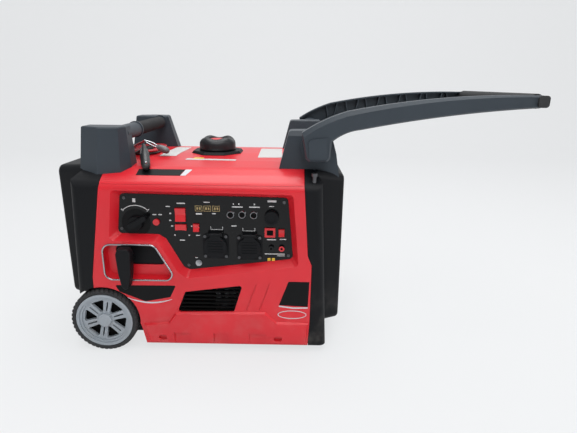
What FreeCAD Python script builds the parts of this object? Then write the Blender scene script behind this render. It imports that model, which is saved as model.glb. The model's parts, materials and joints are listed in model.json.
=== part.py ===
import FreeCAD, Part
import math
import os

V = FreeCAD.Vector

# A wheeled inverter generator. X runs along the case, Y across it (the control side is -Y) and
# Z up. Everything is drawn from the floor up and then lowered by GROUND_GAP, so that the origin
# is the middle of the base tray's underside.

# Case
BASE_HALF_L = 270.0    # half length of the case at its bottom edge
TOP_HALF_L = 251.0     # the same at TOP_REF_Z: the ends lean in
TOP_REF_Z = 420.0
CASE_HALF_W = 215.0
GROUND_GAP = 16.0      # floor to the tray's underside
SEAM_Z = 373.0         # seam between the side panels and the top cover
CROWN_Z = 406.0        # highest line of the top cover
TOP_ARCH = [(190.0, 388.0), (160.0, 399.0), (100.0, 404.0)]  # half of the top's section, (y, z)
PAD_H = 2.0            # flat pad under the middle of the tray
SHOULDER_Z = 380.0     # where the end shoulders start to slope in
SHOULDER_H = 18.0
CORNER_R = 14.0
WALL = 4.0
SEAM_GAP = 0.8         # open joint between two outer panels
FIT = 0.4              # clearance of a part let into an opening
TOUCH = 0.3            # clearance between a moving piece and what it rests on
RUNNING = 0.05         # radial clearance of a running fit

# Red panel between the black end frames, as (x, z)
RED_TOP_LEFT_X = -193.5
RED_TOP_RIGHT_X = 216.5
RED_OUTLINE = [
    (RED_TOP_LEFT_X, SEAM_Z), (-227.5, 171.0), (-228.5, 120.0), (-228.5, 0.0),
    (230.0, 0.0), (234.0, 77.0), (235.0, 205.0), (226.5, 226.0), (RED_TOP_RIGHT_X, SEAM_Z),
]

# Control panel, let into the near side
PANEL_DEPTH = 19.0     # how far the panel's face lies behind the side's face
PANEL_T = 4.0
FRAME_WALL = 2.5
PANEL_R = 9.0
PANEL_OUTLINE = [
    (-160.0, 351.0), (184.0, 346.0), (196.0, 212.5), (-24.0, 184.5),
    (-37.0, 191.0), (-71.0, 254.0), (-86.0, 263.5), (-171.5, 264.5),
]
FRAME_OUTLINE = [
    (-171.0, 361.0), (194.5, 356.0), (207.5, 202.0), (-27.0, 172.5),
    (-45.5, 185.0), (-78.0, 245.0), (-90.0, 253.0), (-184.0, 254.0),
]

# Recoil starter, under the panel's left end
RECOIL_DEPTH = 15.0
RING_W = 3.2
RING_PROUD = 2.6
RING_R = 18.0
RING_OUTLINE = [(-200.0, 246.0), (-92.0, 246.0), (-56.0, 181.0), (-65.0, 167.0), (-200.0, 167.0)]
OPENING_OUTLINE = [(-178.0, 238.0), (-96.0, 238.0), (-70.0, 196.0), (-178.0, 196.0)]
GRIP_X = -150.0
GRIP_Z = 215.0
GRIP_T = 20.0
PULL_NECK_R = 6.0
CRANK_X = -110.0
CRANK_Z = 205.0
PULLEY_R = 45.0
PULLEY_T = 12.0
POST_R = 8.0

# Lower part of the near side
WINDOW_OUTLINE = [(-33.0, 141.0), (90.0, 157.5), (70.0, 94.5), (-52.0, 92.5)]
SKIRT_PROUD = 5.0
SKIRT_OUTLINE = [
    (-117.0, 19.0), (-127.0, 64.0), (-72.0, 69.0), (-56.0, 92.0),
    (138.0, 96.0), (162.0, 73.0), (231.0, 71.0), (228.0, 19.0),
]
STEP_POCKETS = [(-61.0, -25.0), (25.0, 57.0), (102.0, 139.0)]
HOLE_XS = (-86.0, 165.5)
GROOVES = [((118.5, 161.0), (96.0, 99.0)), ((147.0, 165.0), (125.0, 101.0))]

# Wheels, at the left end
WHEEL_X = -211.0
TYRE_R = 71.5
WHEEL_Z = TYRE_R
RIM_R = 61.0
WHEEL_FACE_Y = 222.0
WHEEL_W = 41.0
ARCH_R = 77.0
WELL_Y = 168.0         # inner wall of the wheel wells
AXLE_R = 8.0
SPOKES = 6
FOOT_X = 226.0
FOOT_Y = 150.0
FOOT_R = 22.0

# Towers, carrying bar and tow handle
TOWER_TOP_Z = 482.0
TOWER_WALL = 4.0
BAR_X = -163.0
BAR_Z = 466.0
BAR_R = 12.0
BAR_WALL = 2.0
BAR_END_Y = 150.0
COLLAR_R = 16.5
NEAR_FOOT = [(-141, -162), (-159, -183), (-205, -191), (-248, -172), (-248, -126), (-141, -126)]
NEAR_HEAD = [(-149, -160), (-156, -183), (-195, -189), (-234, -172), (-234, -134), (-149, -134)]
FAR_FOOT = [(-110, -158), (-134, -184), (-198, -191), (-242, -172), (-242, -126), (-110, -126)]
FAR_HEAD = [(-142, -158), (-150, -183), (-190, -188), (-226, -172), (-226, -134), (-142, -134)]
COLLAR_ENDS = (60.0, 131.0)  # distance of each collar's open end from the middle: near, far
BAR_GRIP_R = 15.0
RIGHT_TOWER_Y = 155.0  # outer face of the right towers, behind the tow arms
BARREL_R = 30.0        # round hub between each right tower and its tow arm
PIVOT_X = 238.0
PIVOT_Z = 448.0
PIVOT_R = 11.0
ARM_IN_Y = 190.0
ARM_OUT_Y = 214.0
ARM_WALL = 3.5
ARM_WEB = 6.5
ARM_BEVEL = 5.0
ARM_TOP_BEVEL = 9.0
ARM_PAD = 3.0          # raised pad on each arm's hub block
TIP_X = 657.0
TIP_Z = 542.0
TIP_R = 11.0
TOW_BAR_R = 8.0
TOW_GRIP_R = 14.0
LATCH_X = 236.0
LATCH_Y = 201.0
LATCH_R = 4.0

# Covers on the two ends
COVER_BULGE = 301.0
NOSE_RISE = 2.0        # how far the bulge's lower edge stands above the cover's
COVER_T = 4.0
COVER_LOW = {-1: 106.0, 1: 50.0}
COVER_TOP = {-1: 404.0, 1: 399.0}
COVER_HALF_W = {-1: 176.0, 1: 184.0}
NOSE_HALF_W = 158.0
NOSE_DROP = {-1: 5.0, 1: 12.0}  # how far the nose's top lies under the cover's top

# Filler
FILL_X = 8.0
FILL_Y = 18.0
FLANGE_FLAT_R = 59.0
FLANGE_Z = 411.5
NECK_R = 33.7
NECK_BORE_R = 30.0
NECK_TOP_Z = 420.0
CAP_R = 45.0
CAP_Z = 438.0

# Fittings on the control panel: centre x and z, then their own sizes
DIAL = (-131.0, 288.0)
DIAL_R = 16.0
START = (-88.5, 290.5)
START_R = 6.6
RUN_SWITCH = (-38.0, 307.0, 21.0, 28.0)
ECO_SWITCH = (-38.0, 280.0, 23.0, 12.0)
MODE_SWITCH = (-6.5, 279.5, 12.0, 16.0)
BREAKER_SWITCH = (147.0, 271.0, 22.0, 20.0)
BREAKER_BUTTON = (171.0, 270.5, 12.0, 15.0)
PIVOT_PIN_R = 1.5
RINGS = [(65.5, 308.5), (89.5, 309.0), (113.5, 308.0)]
RING_SOCKET_R = 9.0
DC_CAP = (150.5, 304.0)
DC_CAP_R = 15.0
SOCKETS = [(33.0, 239.0), (104.0, 237.0)]
SOCKET_R = 20.0
LID_R = 24.0
LID_HINGE_UP = 28.0
JACKS = [(149.5, 236.5), (171.5, 236.5)]
JACK_R = 6.0
EARTH = (-4.5, 200.5)
PANEL_SCREWS = [(-152.0, 341.0), (-162.0, 275.0), (176.0, 336.0), (186.0, 220.0), (-26.0, 195.0)]
SCREW_R = 3.0
SOCKET_SCREW = 22.0

# Service door in the far side
DOOR_X0 = -58.0
DOOR_X1 = 150.0
DOOR_Z0 = 110.0
DOOR_Z1 = 330.0
HINGE_R = 4.0

PANEL_Y = -CASE_HALF_W + PANEL_DEPTH
WELL_CUT = [(-330.0, -9.0), (-330.0, 131.0), (-255.0, 131.0), (-211.0, 110.0), (-137.0, 72.0),
            (-131.0, 52.0), (-119.0, -9.0)]


# ---------------------------------------------------------------- geometry helpers
def at(plane, u, v, level):
    """A point from its two coordinates in a plane and the level of that plane."""
    if plane == "xz":
        return V(u, level, v)
    if plane == "yz":
        return V(level, u, v)
    return V(u, v, level)


def normal(plane):
    return {"xz": V(0, 1, 0), "yz": V(1, 0, 0), "xy": V(0, 0, 1)}[plane]


def outline(points, plane, level, radius=0.0):
    """A closed wire through the points, with its corners rounded to the radius."""
    corners = [at(plane, u, v, level) for u, v in points]
    if not radius:
        return Part.makePolygon(corners + [corners[0]])
    edges = []
    ends = []
    for i, p in enumerate(corners):
        back = corners[i - 1] - p
        ahead = corners[(i + 1) % len(corners)] - p
        half = back.getAngle(ahead) / 2
        reach = min(radius / math.tan(half), 0.45 * back.Length, 0.45 * ahead.Length)
        r = reach * math.tan(half)
        back.normalize()
        ahead.normalize()
        middle = back + ahead
        middle.normalize()
        first = p + back * reach
        last = p + ahead * reach
        ends.append((first, last))
        edges.append(Part.Arc(first, p + middle * (r / math.sin(half) - r), last).toShape())
    sides = [Part.LineSegment(ends[i - 1][1], ends[i][0]).toShape() for i in range(len(ends))]
    return Part.Wire([e for pair in zip(sides, edges) for e in pair])


def prism(points, plane, low, high, radius=0.0):
    """A flat outline pushed along its plane's normal from one level to another."""
    face = Part.Face(outline(points, plane, low, radius))
    return face.extrude(normal(plane) * (high - low))


def loft(points_a, level_a, points_b, level_b, plane, radius=0.0):
    """A solid whose flat outline changes evenly from one level to the other."""
    wires = [outline(points_a, plane, level_a, radius), outline(points_b, plane, level_b, radius)]
    return Part.makeLoft(wires, True, True)


def grown(points, by):
    """The outline moved outwards by a distance, or inwards if it is negative."""
    n = len(points)
    area = sum(points[i - 1][0] * points[i][1] - points[i][0] * points[i - 1][1] for i in range(n))
    turn = 1.0 if area > 0 else -1.0
    result = []
    for i in range(n):
        (ax, ay), (bx, by_), (cx, cy) = points[i - 1], points[i], points[(i + 1) % n]
        d1 = math.hypot(bx - ax, by_ - ay)
        d2 = math.hypot(cx - bx, cy - by_)
        n1 = ((by_ - ay) / d1 * turn, (ax - bx) / d1 * turn)
        n2 = ((cy - by_) / d2 * turn, (bx - cx) / d2 * turn)
        share = by / (1.0 + n1[0] * n2[0] + n1[1] * n2[1])
        result.append((bx + share * (n1[0] + n2[0]), by_ + share * (n1[1] + n2[1])))
    return result


def box(x0, x1, y0, y1, z0, z1):
    return Part.makeBox(x1 - x0, y1 - y0, z1 - z0, V(x0, y0, z0))


def rod(plane, u, v, r, low, high):
    """A round bar along the plane's normal."""
    return Part.makeCylinder(r, high - low, at(plane, u, v, low), normal(plane))


def ring(plane, u, v, r_out, r_in, low, high):
    return rod(plane, u, v, r_out, low, high).cut(rod(plane, u, v, r_in, low - 1, high + 1))


def rectangle(u0, u1, v0, v1):
    return [(u0, v0), (u1, v0), (u1, v1), (u0, v1)]


def mirrored(shape):
    """The same shape on the far side of the case."""
    return shape.mirror(V(0, 0, 0), V(0, 1, 0))


def joined(shapes):
    first, *rest = shapes
    return first.fuse(rest).removeSplitter() if rest else first


def rounded(shape, radius, keep):
    """Rounds the edges that keep() picks by their two ends and middle."""
    edges = [e for e in shape.Edges if keep(e)]
    return shape.makeFillet(radius, edges)


def save(name, *shapes):
    """Writes one node, lowered so that the tray's underside is at zero."""
    solids = [s for shape in shapes for s in shape.Solids]
    for s in solids:
        if not s.isValid() or s.Volume <= 0:
            raise ValueError(name + " is not a sound solid")
    result = solids[0] if len(solids) == 1 else Part.makeCompound(solids)
    result = result.copy()
    result.translate(V(0, 0, -GROUND_GAP))
    result.exportStep(os.path.join("parts", name + ".step"))


# ---------------------------------------------------------------- case
def case_block(inset, bottom=GROUND_GAP):
    """The whole case as one block, or the same block made smaller all round."""
    w = CASE_HALF_W - inset
    plan = [rectangle(-half + inset, half - inset, -w, w) for half in (BASE_HALF_L, TOP_HALF_L)]
    r = max(CORNER_R - inset, 2.0)
    block = loft(plan[0], GROUND_GAP, plan[1], TOP_REF_Z, "xy", r)
    if bottom < GROUND_GAP:
        block = block.fuse(prism(plan[0], "xy", bottom, GROUND_GAP, r)).removeSplitter()
    arch = [(y - inset / 2, z - inset) for y, z in TOP_ARCH]
    across = [(-w, bottom - 100), (-w, SEAM_Z)] + [(-y, z) for y, z in arch] + [(0, CROWN_Z - inset)]
    across += arch[::-1] + [(w, SEAM_Z), (w, bottom - 100)]
    top = prism(across, "yz", -BASE_HALF_L - 1, BASE_HALF_L + 1, 60.0)
    lean = (BASE_HALF_L - TOP_HALF_L) / (TOP_REF_Z - GROUND_GAP)
    edge = BASE_HALF_L - lean * (SHOULDER_Z - GROUND_GAP) - inset
    ends = [
        (-BASE_HALF_L - 5, bottom - 2), (-BASE_HALF_L - 5, SHOULDER_Z), (-edge, SHOULDER_Z),
        (-edge + SHOULDER_H, SHOULDER_Z + SHOULDER_H), (-edge + 2 * SHOULDER_H, TOP_REF_Z),
        (edge - 2 * SHOULDER_H, TOP_REF_Z), (edge - SHOULDER_H, SHOULDER_Z + SHOULDER_H),
        (edge, SHOULDER_Z), (BASE_HALF_L + 5, SHOULDER_Z), (BASE_HALF_L + 5, bottom - 2),
    ]
    return block.common(top).common(prism(ends, "xz", -CASE_HALF_W - 1, CASE_HALF_W + 1))


def wheel_space():
    """The two spaces beside the base that hold the wheels."""
    arch = rod("xz", WHEEL_X, WHEEL_Z, ARCH_R, -CASE_HALF_W - 20, -WELL_Y)
    near = arch.fuse(prism(WELL_CUT, "xz", -CASE_HALF_W - 20, -WELL_Y))
    return near.fuse(mirrored(near))


def red_region(gap):
    """The blocks of the case that the red panels take: near side, far side and top."""
    edge = grown(RED_OUTLINE, -gap)
    side = prism(edge, "xz", -CASE_HALF_W - 10, -CASE_HALF_W + WALL + 6)
    side = side.cut(box(-400, 400, -400, 400, SEAM_Z - gap, 500))
    top = box(RED_TOP_LEFT_X + gap, RED_TOP_RIGHT_X - gap, -300, 300, SEAM_Z, 500)
    return side, mirrored(side), top


def tub(outer, inner, depth, wall, radius):
    """The outside and the inside of a tapering recess, from the side's face to its floor."""
    y = -CASE_HALF_W
    out = loft(grown(outer, wall), y, grown(inner, wall), y + depth, "xz", radius)
    return out, loft(outer, y, inner, y + depth, "xz", radius)


def near_side_panel(shell, space):
    side = shell.common(red_region(SEAM_GAP / 2)[0]).cut(space)
    y = -CASE_HALF_W
    back = PANEL_Y + PANEL_T
    frame_out, frame_in = tub(FRAME_OUTLINE, PANEL_OUTLINE, PANEL_DEPTH, FRAME_WALL, PANEL_R)
    sleeve = prism(grown(PANEL_OUTLINE, FRAME_WALL), "xz", PANEL_Y, back, PANEL_R)
    cup_inner = grown(RING_OUTLINE, -5.0)
    cup_out, cup_in = tub(RING_OUTLINE, cup_inner, RECOIL_DEPTH, FRAME_WALL, RING_R)
    floor_y = y + RECOIL_DEPTH
    floor = prism(grown(cup_inner, FRAME_WALL), "xz", floor_y, floor_y + FRAME_WALL, RING_R)
    skirt = loft(SKIRT_OUTLINE, y, grown(SKIRT_OUTLINE, -3.0), y - SKIRT_PROUD, "xz")
    side = joined([side, frame_out, sleeve, cup_out, floor, skirt.cut(space)])
    side = side.cut(frame_in).cut(cup_in)
    side = side.cut(prism(PANEL_OUTLINE, "xz", PANEL_Y - 1, back + 1, PANEL_R))
    side = side.cut(prism(OPENING_OUTLINE, "xz", floor_y - 1, floor_y + 9, 8.0))
    side = side.cut(prism(WINDOW_OUTLINE, "xz", y - 1, y + WALL + 1, 5.0))
    for x0, x1 in STEP_POCKETS:
        side = side.cut(box(x0, x1, y - SKIRT_PROUD - 1, y - 1, 10, 44))
    for x in HOLE_XS:
        hole = prism(rectangle(x - 9, x + 9, 27, 38), "xz", y - SKIRT_PROUD - 1, y + 1, 5.4)
        side = side.cut(hole)
    for (xa, za), (xb, zb) in GROOVES:
        line = [(xa - 1.6, za), (xa + 1.6, za), (xb + 1.6, zb), (xb - 1.6, zb)]
        side = side.cut(prism(line, "xz", y - 1, y + 2, 1.4))
    return side


def far_side_panel(shell, space):
    side = shell.common(red_region(SEAM_GAP / 2)[1]).cut(space)
    y = CASE_HALF_W
    side = side.cut(box(DOOR_X0 - FIT * 2, DOOR_X1 + FIT * 2, y - 9, y + 9,
                        DOOR_Z0 - FIT * 2, DOOR_Z1 + FIT * 2))
    side = side.cut(rod("xy", DOOR_X0 - HINGE_R, y + 1, HINGE_R + 0.7, DOOR_Z0, DOOR_Z1))
    length = (DOOR_Z1 - DOOR_Z0) / 3
    z0 = DOOR_Z0 + length
    knuckle = rod("xy", DOOR_X0 - HINGE_R, y + 1, HINGE_R, z0 + 0.5, z0 + length - 0.5)
    leaf = box(DOOR_X0 - HINGE_R - 9, DOOR_X0 - HINGE_R, y - WALL, y + 1, z0 + 0.5, z0 + length - 0.5)
    return joined([side, knuckle, leaf])


def service_door():
    y = CASE_HALF_W
    plate = box(DOOR_X0, DOOR_X1, y - WALL, y, DOOR_Z0, DOOR_Z1)
    pieces = [plate]
    length = (DOOR_Z1 - DOOR_Z0) / 3
    for z0 in (DOOR_Z0, DOOR_Z0 + 2 * length):
        pieces.append(rod("xy", DOOR_X0 - HINGE_R, y + 1, HINGE_R, z0 + 1, z0 + length - 1))
        pieces.append(box(DOOR_X0 - HINGE_R, DOOR_X0 + 4, y - 1.5, y + 3, z0 + 1, z0 + length - 1))
    pull = box(DOOR_X1 - 26, DOOR_X1 - 14, y, y + 9, 195, 245)
    pieces.append(pull)
    door = joined(pieces)
    for row in range(6):
        z = DOOR_Z0 + 24 + row * 12
        door = door.cut(box(DOOR_X0 + 24, DOOR_X1 - 40, y - WALL - 1, y + 1, z, z + 5))
    return door


def top_cover(shell):
    cover = shell.common(red_region(SEAM_GAP / 2)[2])
    return cover.cut(rod("xy", FILL_X, FILL_Y, NECK_R + 0.3, SEAM_Z, CAP_Z))


def end_frame(shell, space, side):
    """The black frame round one end: both corner posts, the end wall and the shoulders."""
    rest = shell.cut(space)
    for region in red_region(-SEAM_GAP / 2):
        rest = rest.cut(region)
    half = rest.common(box(min(0, side * 400), max(0, side * 400), -300, 300, 0, 500))
    mouth_z = (120, 370) if side < 0 else (70, 370)
    mouth = prism(rectangle(-150, 150, *mouth_z), "yz", min(side * 200, side * 300),
                  max(side * 200, side * 300), 12.0)
    half = half.cut(mouth)
    if side > 0:
        half = half.cut(rod("xy", LATCH_X, -LATCH_Y, LATCH_R + RUNNING, 350, 400))
    return half


def cover_block(side):
    """The outside of the bulged cover on one end, before it is hollowed."""
    low, wide, top = COVER_LOW[side], COVER_HALF_W[side], COVER_TOP[side]
    base = rectangle(-wide, wide, low, top)
    nose = rectangle(-NOSE_HALF_W, NOSE_HALF_W, low + NOSE_RISE, top - NOSE_DROP[side])
    block = loft(base, side * 240.0, nose, side * COVER_BULGE, "yz", 16.0)
    return rounded(block, 9.0, lambda e: all(abs(abs(p.Point.x) - COVER_BULGE) < 0.1 for p in e.Vertexes))


def end_cover(side):
    """The bulged cover on one end, with a band of cooling slots."""
    low, wide, top = COVER_LOW[side], COVER_HALF_W[side], COVER_TOP[side]
    nose_w = NOSE_HALF_W - COVER_T
    base = rectangle(-wide + COVER_T, wide - COVER_T, low + COVER_T, top - COVER_T)
    nose = rectangle(-nose_w, nose_w, low + NOSE_RISE + COVER_T, top - NOSE_DROP[side] - COVER_T)
    skin = cover_block(side)
    inner = loft(base, side * 239.0, nose, side * (COVER_BULGE - COVER_T), "yz", 12.0)
    skin = skin.cut(case_block(0.0)).cut(inner)
    rows = 9
    pitch = (384.0 - low - 18.0 - 60.0) / rows
    for row in range(rows):
        z = low + 18.0 + 34.0 + row * pitch
        slot = prism(rectangle(-112, 112, z, z + 9), "yz", min(side * 284, side * 330),
                     max(side * 284, side * 330), 4.4)
        skin = skin.cut(slot)
    return skin


def base_tray(space):
    """The floor of the case with its flat pad, low walls inside the panels and a wall beside
    each wheel."""
    under = GROUND_GAP + PAD_H
    tray = case_block(WALL + FIT).common(box(-400, 400, -400, 400, under, 74))
    tray = tray.cut(case_block(2 * WALL + FIT).common(box(-400, 400, -400, 400, GROUND_GAP + WALL, 80)))
    tray = tray.cut(space)
    wall = prism([(-256, 18), (-254, 128), (-213, 152), (-160, 143), (-116, 74), (-112, 18)],
                 "xz", -WELL_Y, -WELL_Y + WALL)
    wall = wall.cut(rod("xz", WHEEL_X, WHEEL_Z, AXLE_R + RUNNING, -WELL_Y - 1, -WELL_Y + WALL + 1))
    pad = prism(rectangle(-110, 130, -90, 90), "xy", GROUND_GAP, under, 12.0)
    return joined([tray, wall, mirrored(wall), pad])


def side_grille():
    """A screen of slats behind the window in the near side."""
    y = -CASE_HALF_W + WALL
    edge = grown(WINDOW_OUTLINE, 6.0)
    screen = prism(edge, "xz", y, y + 6)
    hollow = prism(grown(WINDOW_OUTLINE, -3.0), "xz", y - 1, y + 7)
    slats = []
    for row in range(9):
        z = 84.0 + row * 9.0
        slats.append(box(-70, 110, y, y + 5, z, z + 3.4))
    bars = joined(slats).common(hollow)
    return joined([screen.cut(hollow), bars])


# ---------------------------------------------------------------- towers and handles
def left_tower(foot, head, collar_end):
    """A tapering hollow tower whose outer corners are cut off, with the carrying bar's socket.
    Both towers are drawn on the near side."""
    low = SEAM_Z + 2
    skin = loft(foot, low, head, TOWER_TOP_Z, "xy")
    skin = rounded(skin, 4.0, lambda e: all(p.Point.z > TOWER_TOP_Z - 1 for p in e.Vertexes))
    hollow = loft(grown(foot, -TOWER_WALL), low - 1, grown(head, -TOWER_WALL),
                  TOWER_TOP_Z - TOWER_WALL, "xy")
    skin = skin.cut(hollow)
    collar = rod("xz", BAR_X, BAR_Z, COLLAR_R - 0.5, -BAR_END_Y, -collar_end)
    lip = rod("xz", BAR_X, BAR_Z, COLLAR_R + 1.5, -collar_end - 5, -collar_end)
    tower = joined([skin, collar, lip])
    tower = tower.cut(rod("xz", BAR_X, BAR_Z, BAR_R, -BAR_END_Y, -collar_end + 1))
    return tower.cut(case_block(0.0)).cut(cover_block(-1))


def right_tower():
    """A tapering hollow tower that carries the tow handle's pivot."""
    shape = [(158, 376), (184, 476), (262, 478), (273, 462), (282, 430), (290, 376)]
    y = -RIGHT_TOWER_Y
    across = [(y - 6, 376), (y, 466), (y + 5, 478), (y + 43, 478), (y + 53, 376)]
    skin = prism(shape, "xz", -200, -80, 7.0).common(prism(across, "yz", 100, 320, 5.0))
    inner = prism(grown(shape, -TOWER_WALL), "xz", -200, -80, 4.0)
    inner = inner.common(prism(grown(across, -TOWER_WALL), "yz", 100, 320, 2.0))
    inner = inner.fuse(box(170, 280, y - 1, y + 47, 360, 390))
    skin = skin.cut(inner)
    boss = rod("xz", PIVOT_X, PIVOT_Z, PIVOT_R, -ARM_OUT_Y + ARM_WEB + 1, y + TOWER_WALL)
    barrel = rod("xz", PIVOT_X, PIVOT_Z, BARREL_R, -ARM_IN_Y + TOUCH, y + 2)
    return joined([skin, boss, barrel]).cut(case_block(0.0)).cut(cover_block(1))


def arm_outline(inset, drop=None):
    """The side view of a tow arm: its hub block, the bowed arm and the round tip. The top edge
    may be lowered more than the others are moved in."""
    c = inset
    d = c if drop is None else drop
    far = (c + d) / 2
    top = [V(209 + c, 0, 478 - d), V(250, 0, 501.5 - d), V(296, 0, 519.5 - d)]
    long_top = [top[2], V(450, 0, 543.5 - far), V(TIP_X - 3, 0, 553 - c)]
    tip_top = [long_top[2], V(TIP_X + 7.8 - 0.7 * c, 0, 549.8 - 0.7 * c), V(TIP_X + 11 - c, 0, TIP_Z)]
    tip_low = [tip_top[2], V(TIP_X + 4, 0, 532.5 + c), V(TIP_X - 8, 0, 529.5 + c)]
    long_low = [tip_low[2], V(480, 0, 512 + c), V(322, 0, 485 + c)]
    heel = [long_low[2], V(287, 0, 474.5 + c), V(267 - c, 0, 461 + c)]
    arcs = [Part.Arc(*p).toShape() for p in (top, long_top, tip_top, tip_low, long_low, heel)]
    corners = [heel[2], V(265 - c, 0, 428 + c), V(259 - c, 0, 422 + c), V(223 + c, 0, 422 + c),
               V(217 + c, 0, 428 + c), top[0]]
    lines = [Part.LineSegment(a, b).toShape() for a, b in zip(corners, corners[1:])]
    return Part.Wire(arcs + lines)


def tow_arm():
    """One arm of the tow handle: bevelled and smooth outside, an open ribbed channel inside."""
    wide = arm_outline(0.0)
    wide.translate(V(0, ARM_BEVEL - ARM_OUT_Y, 0))
    slim = arm_outline(ARM_BEVEL * 0.6, ARM_TOP_BEVEL)
    slim.translate(V(0, -ARM_OUT_Y, 0))
    body = Part.Face(wide).extrude(V(0, ARM_OUT_Y - ARM_IN_Y - ARM_BEVEL, 0))
    body = body.fuse(Part.makeLoft([wide, slim], True, True)).removeSplitter()
    hollow = Part.Face(arm_outline(ARM_WALL)).extrude(V(0, ARM_OUT_Y, 0))
    hollow.translate(V(0, -ARM_OUT_Y + ARM_WEB, 0))
    shell = body.cut(hollow)
    ribs = []
    for i in range(13):
        x = 282.0 + i * 28.0
        lean = 10.0 if i % 2 else -10.0
        ribs.append(prism([(x - lean, 460), (x - lean + 2.4, 460), (x + lean + 2.4, 560),
                           (x + lean, 560)], "xz", -ARM_OUT_Y + ARM_WEB, -ARM_IN_Y - 3))
    hub = rod("xz", PIVOT_X, PIVOT_Z, PIVOT_R + 7, -ARM_OUT_Y + ARM_WEB, -ARM_IN_Y)
    end = rod("xz", TIP_X, TIP_Z, TIP_R - 0.6, -ARM_OUT_Y + ARM_WEB, -ARM_IN_Y)
    inside = joined(ribs + [hub, end]).common(body)
    raised = prism([(222, 461), (227, 466), (259, 470), (258, 428), (224, 428)], "xz",
                   -ARM_OUT_Y - ARM_PAD, -ARM_OUT_Y, 2.0)
    arm = joined([shell, inside, raised])
    arm = arm.cut(rod("xz", PIVOT_X, PIVOT_Z, PIVOT_R + RUNNING, -ARM_OUT_Y + ARM_WEB, -ARM_IN_Y + 1))
    return arm.cut(rod("xz", TIP_X, TIP_Z, TOW_BAR_R, -ARM_OUT_Y - 1, -ARM_IN_Y + 1))


def tow_grip_bar():
    """The crossbar between the two arms: a plain bar with a thicker grip and two end caps."""
    bar = rod("xz", TIP_X, TIP_Z, TOW_BAR_R, -ARM_OUT_Y - 4, ARM_OUT_Y + 4)
    grip = rod("xz", TIP_X, TIP_Z, TOW_GRIP_R, -ARM_IN_Y + 1, ARM_IN_Y - 1)
    plate = rectangle(TIP_X - 10, TIP_X + 10, TIP_Z - 11, TIP_Z + 11)
    caps = [prism(plate, "xz", -ARM_OUT_Y - 5, -ARM_OUT_Y, 6.0),
            prism(plate, "xz", ARM_OUT_Y, ARM_OUT_Y + 5, 6.0)]
    return joined([bar, grip] + caps)


def latch_plunger():
    """The sprung plunger that holds the tow handle up, seen under the arm's hub."""
    pin = rod("xy", LATCH_X, -LATCH_Y, LATCH_R, 356, 398)
    collar = rod("xy", LATCH_X, -LATCH_Y, LATCH_R + 2, 392, 398)
    return joined([pin, collar])


def carry_bar():
    return ring("xz", BAR_X, BAR_Z, BAR_R, BAR_R - BAR_WALL, -BAR_END_Y, BAR_END_Y)


def carry_grip():
    near, far = COLLAR_ENDS
    sleeve = ring("xz", BAR_X, BAR_Z, BAR_GRIP_R, BAR_R, -near + 2, far - 2)
    return rounded(sleeve, 1.5, lambda e: abs(e.Length - 2 * math.pi * BAR_GRIP_R) < 0.5)


# ---------------------------------------------------------------- filler and tank
def filler_flange():
    corners = [(FILL_X + FLANGE_FLAT_R / math.cos(math.pi / 8) * math.cos((i + 0.5) * math.pi / 4),
                FILL_Y + FLANGE_FLAT_R / math.cos(math.pi / 8) * math.sin((i + 0.5) * math.pi / 4))
               for i in range(8)]
    plate = prism(corners, "xy", SEAM_Z, FLANGE_Z - 5)
    plate = plate.fuse(loft(corners, FLANGE_Z - 5, grown(corners, -4), FLANGE_Z, "xy"))
    plate = plate.cut(rod("xy", FILL_X, FILL_Y, NECK_R + 0.3, SEAM_Z - 1, FLANGE_Z + 1))
    return plate.removeSplitter().cut(case_block(0.0))


def fuel_cap():
    """A screw cap with a scalloped rim, lobes on top and a cross slot."""
    cap = rod("xy", FILL_X, FILL_Y, CAP_R, FLANGE_Z + TOUCH, CAP_Z - 6)
    dome = Part.makeCone(CAP_R, CAP_R - 9, 6, V(FILL_X, FILL_Y, CAP_Z - 6))
    cap = cap.fuse(dome)
    for i in range(6):
        angle = (i + 0.5) * math.pi / 3
        lobe = Part.makeCone(12, 9, 7, V(FILL_X + 30 * math.cos(angle), FILL_Y + 30 * math.sin(angle), CAP_Z - 2))
        cap = cap.fuse(lobe)
    for i in range(24):
        angle = i * math.pi / 12
        groove = rod("xy", FILL_X + (CAP_R + 1.2) * math.cos(angle), FILL_Y + (CAP_R + 1.2) * math.sin(angle),
                     2.4, FLANGE_Z, CAP_Z - 6)
        cap = cap.cut(groove)
    cap = cap.cut(rod("xy", FILL_X, FILL_Y, NECK_R + RUNNING, FLANGE_Z, NECK_TOP_Z + 1))
    return cap.cut(box(FILL_X - 15, FILL_X + 15, FILL_Y - 4, FILL_Y + 4, CAP_Z - 4, CAP_Z + 9))


def fuel_tank():
    body = prism(rectangle(-158, 150, -132, 150), "xy", 300, 372, 25.0)
    hollow = prism(rectangle(-155, 147, -129, 147), "xy", 303, 369, 22.0)
    neck = rod("xy", FILL_X, FILL_Y, NECK_R, 371, NECK_TOP_Z)
    return joined([body, neck]).cut(hollow).cut(rod("xy", FILL_X, FILL_Y, NECK_BORE_R, 360, NECK_TOP_Z + 1))


# ---------------------------------------------------------------- control panel and its fittings
def panel_hole(part, x, z, w, h, clear):
    return part.cut(box(x - w / 2 - clear, x + w / 2 + clear, PANEL_Y - 1, PANEL_Y + PANEL_T + 1,
                        z - h / 2 - clear, z + h / 2 + clear))


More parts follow.
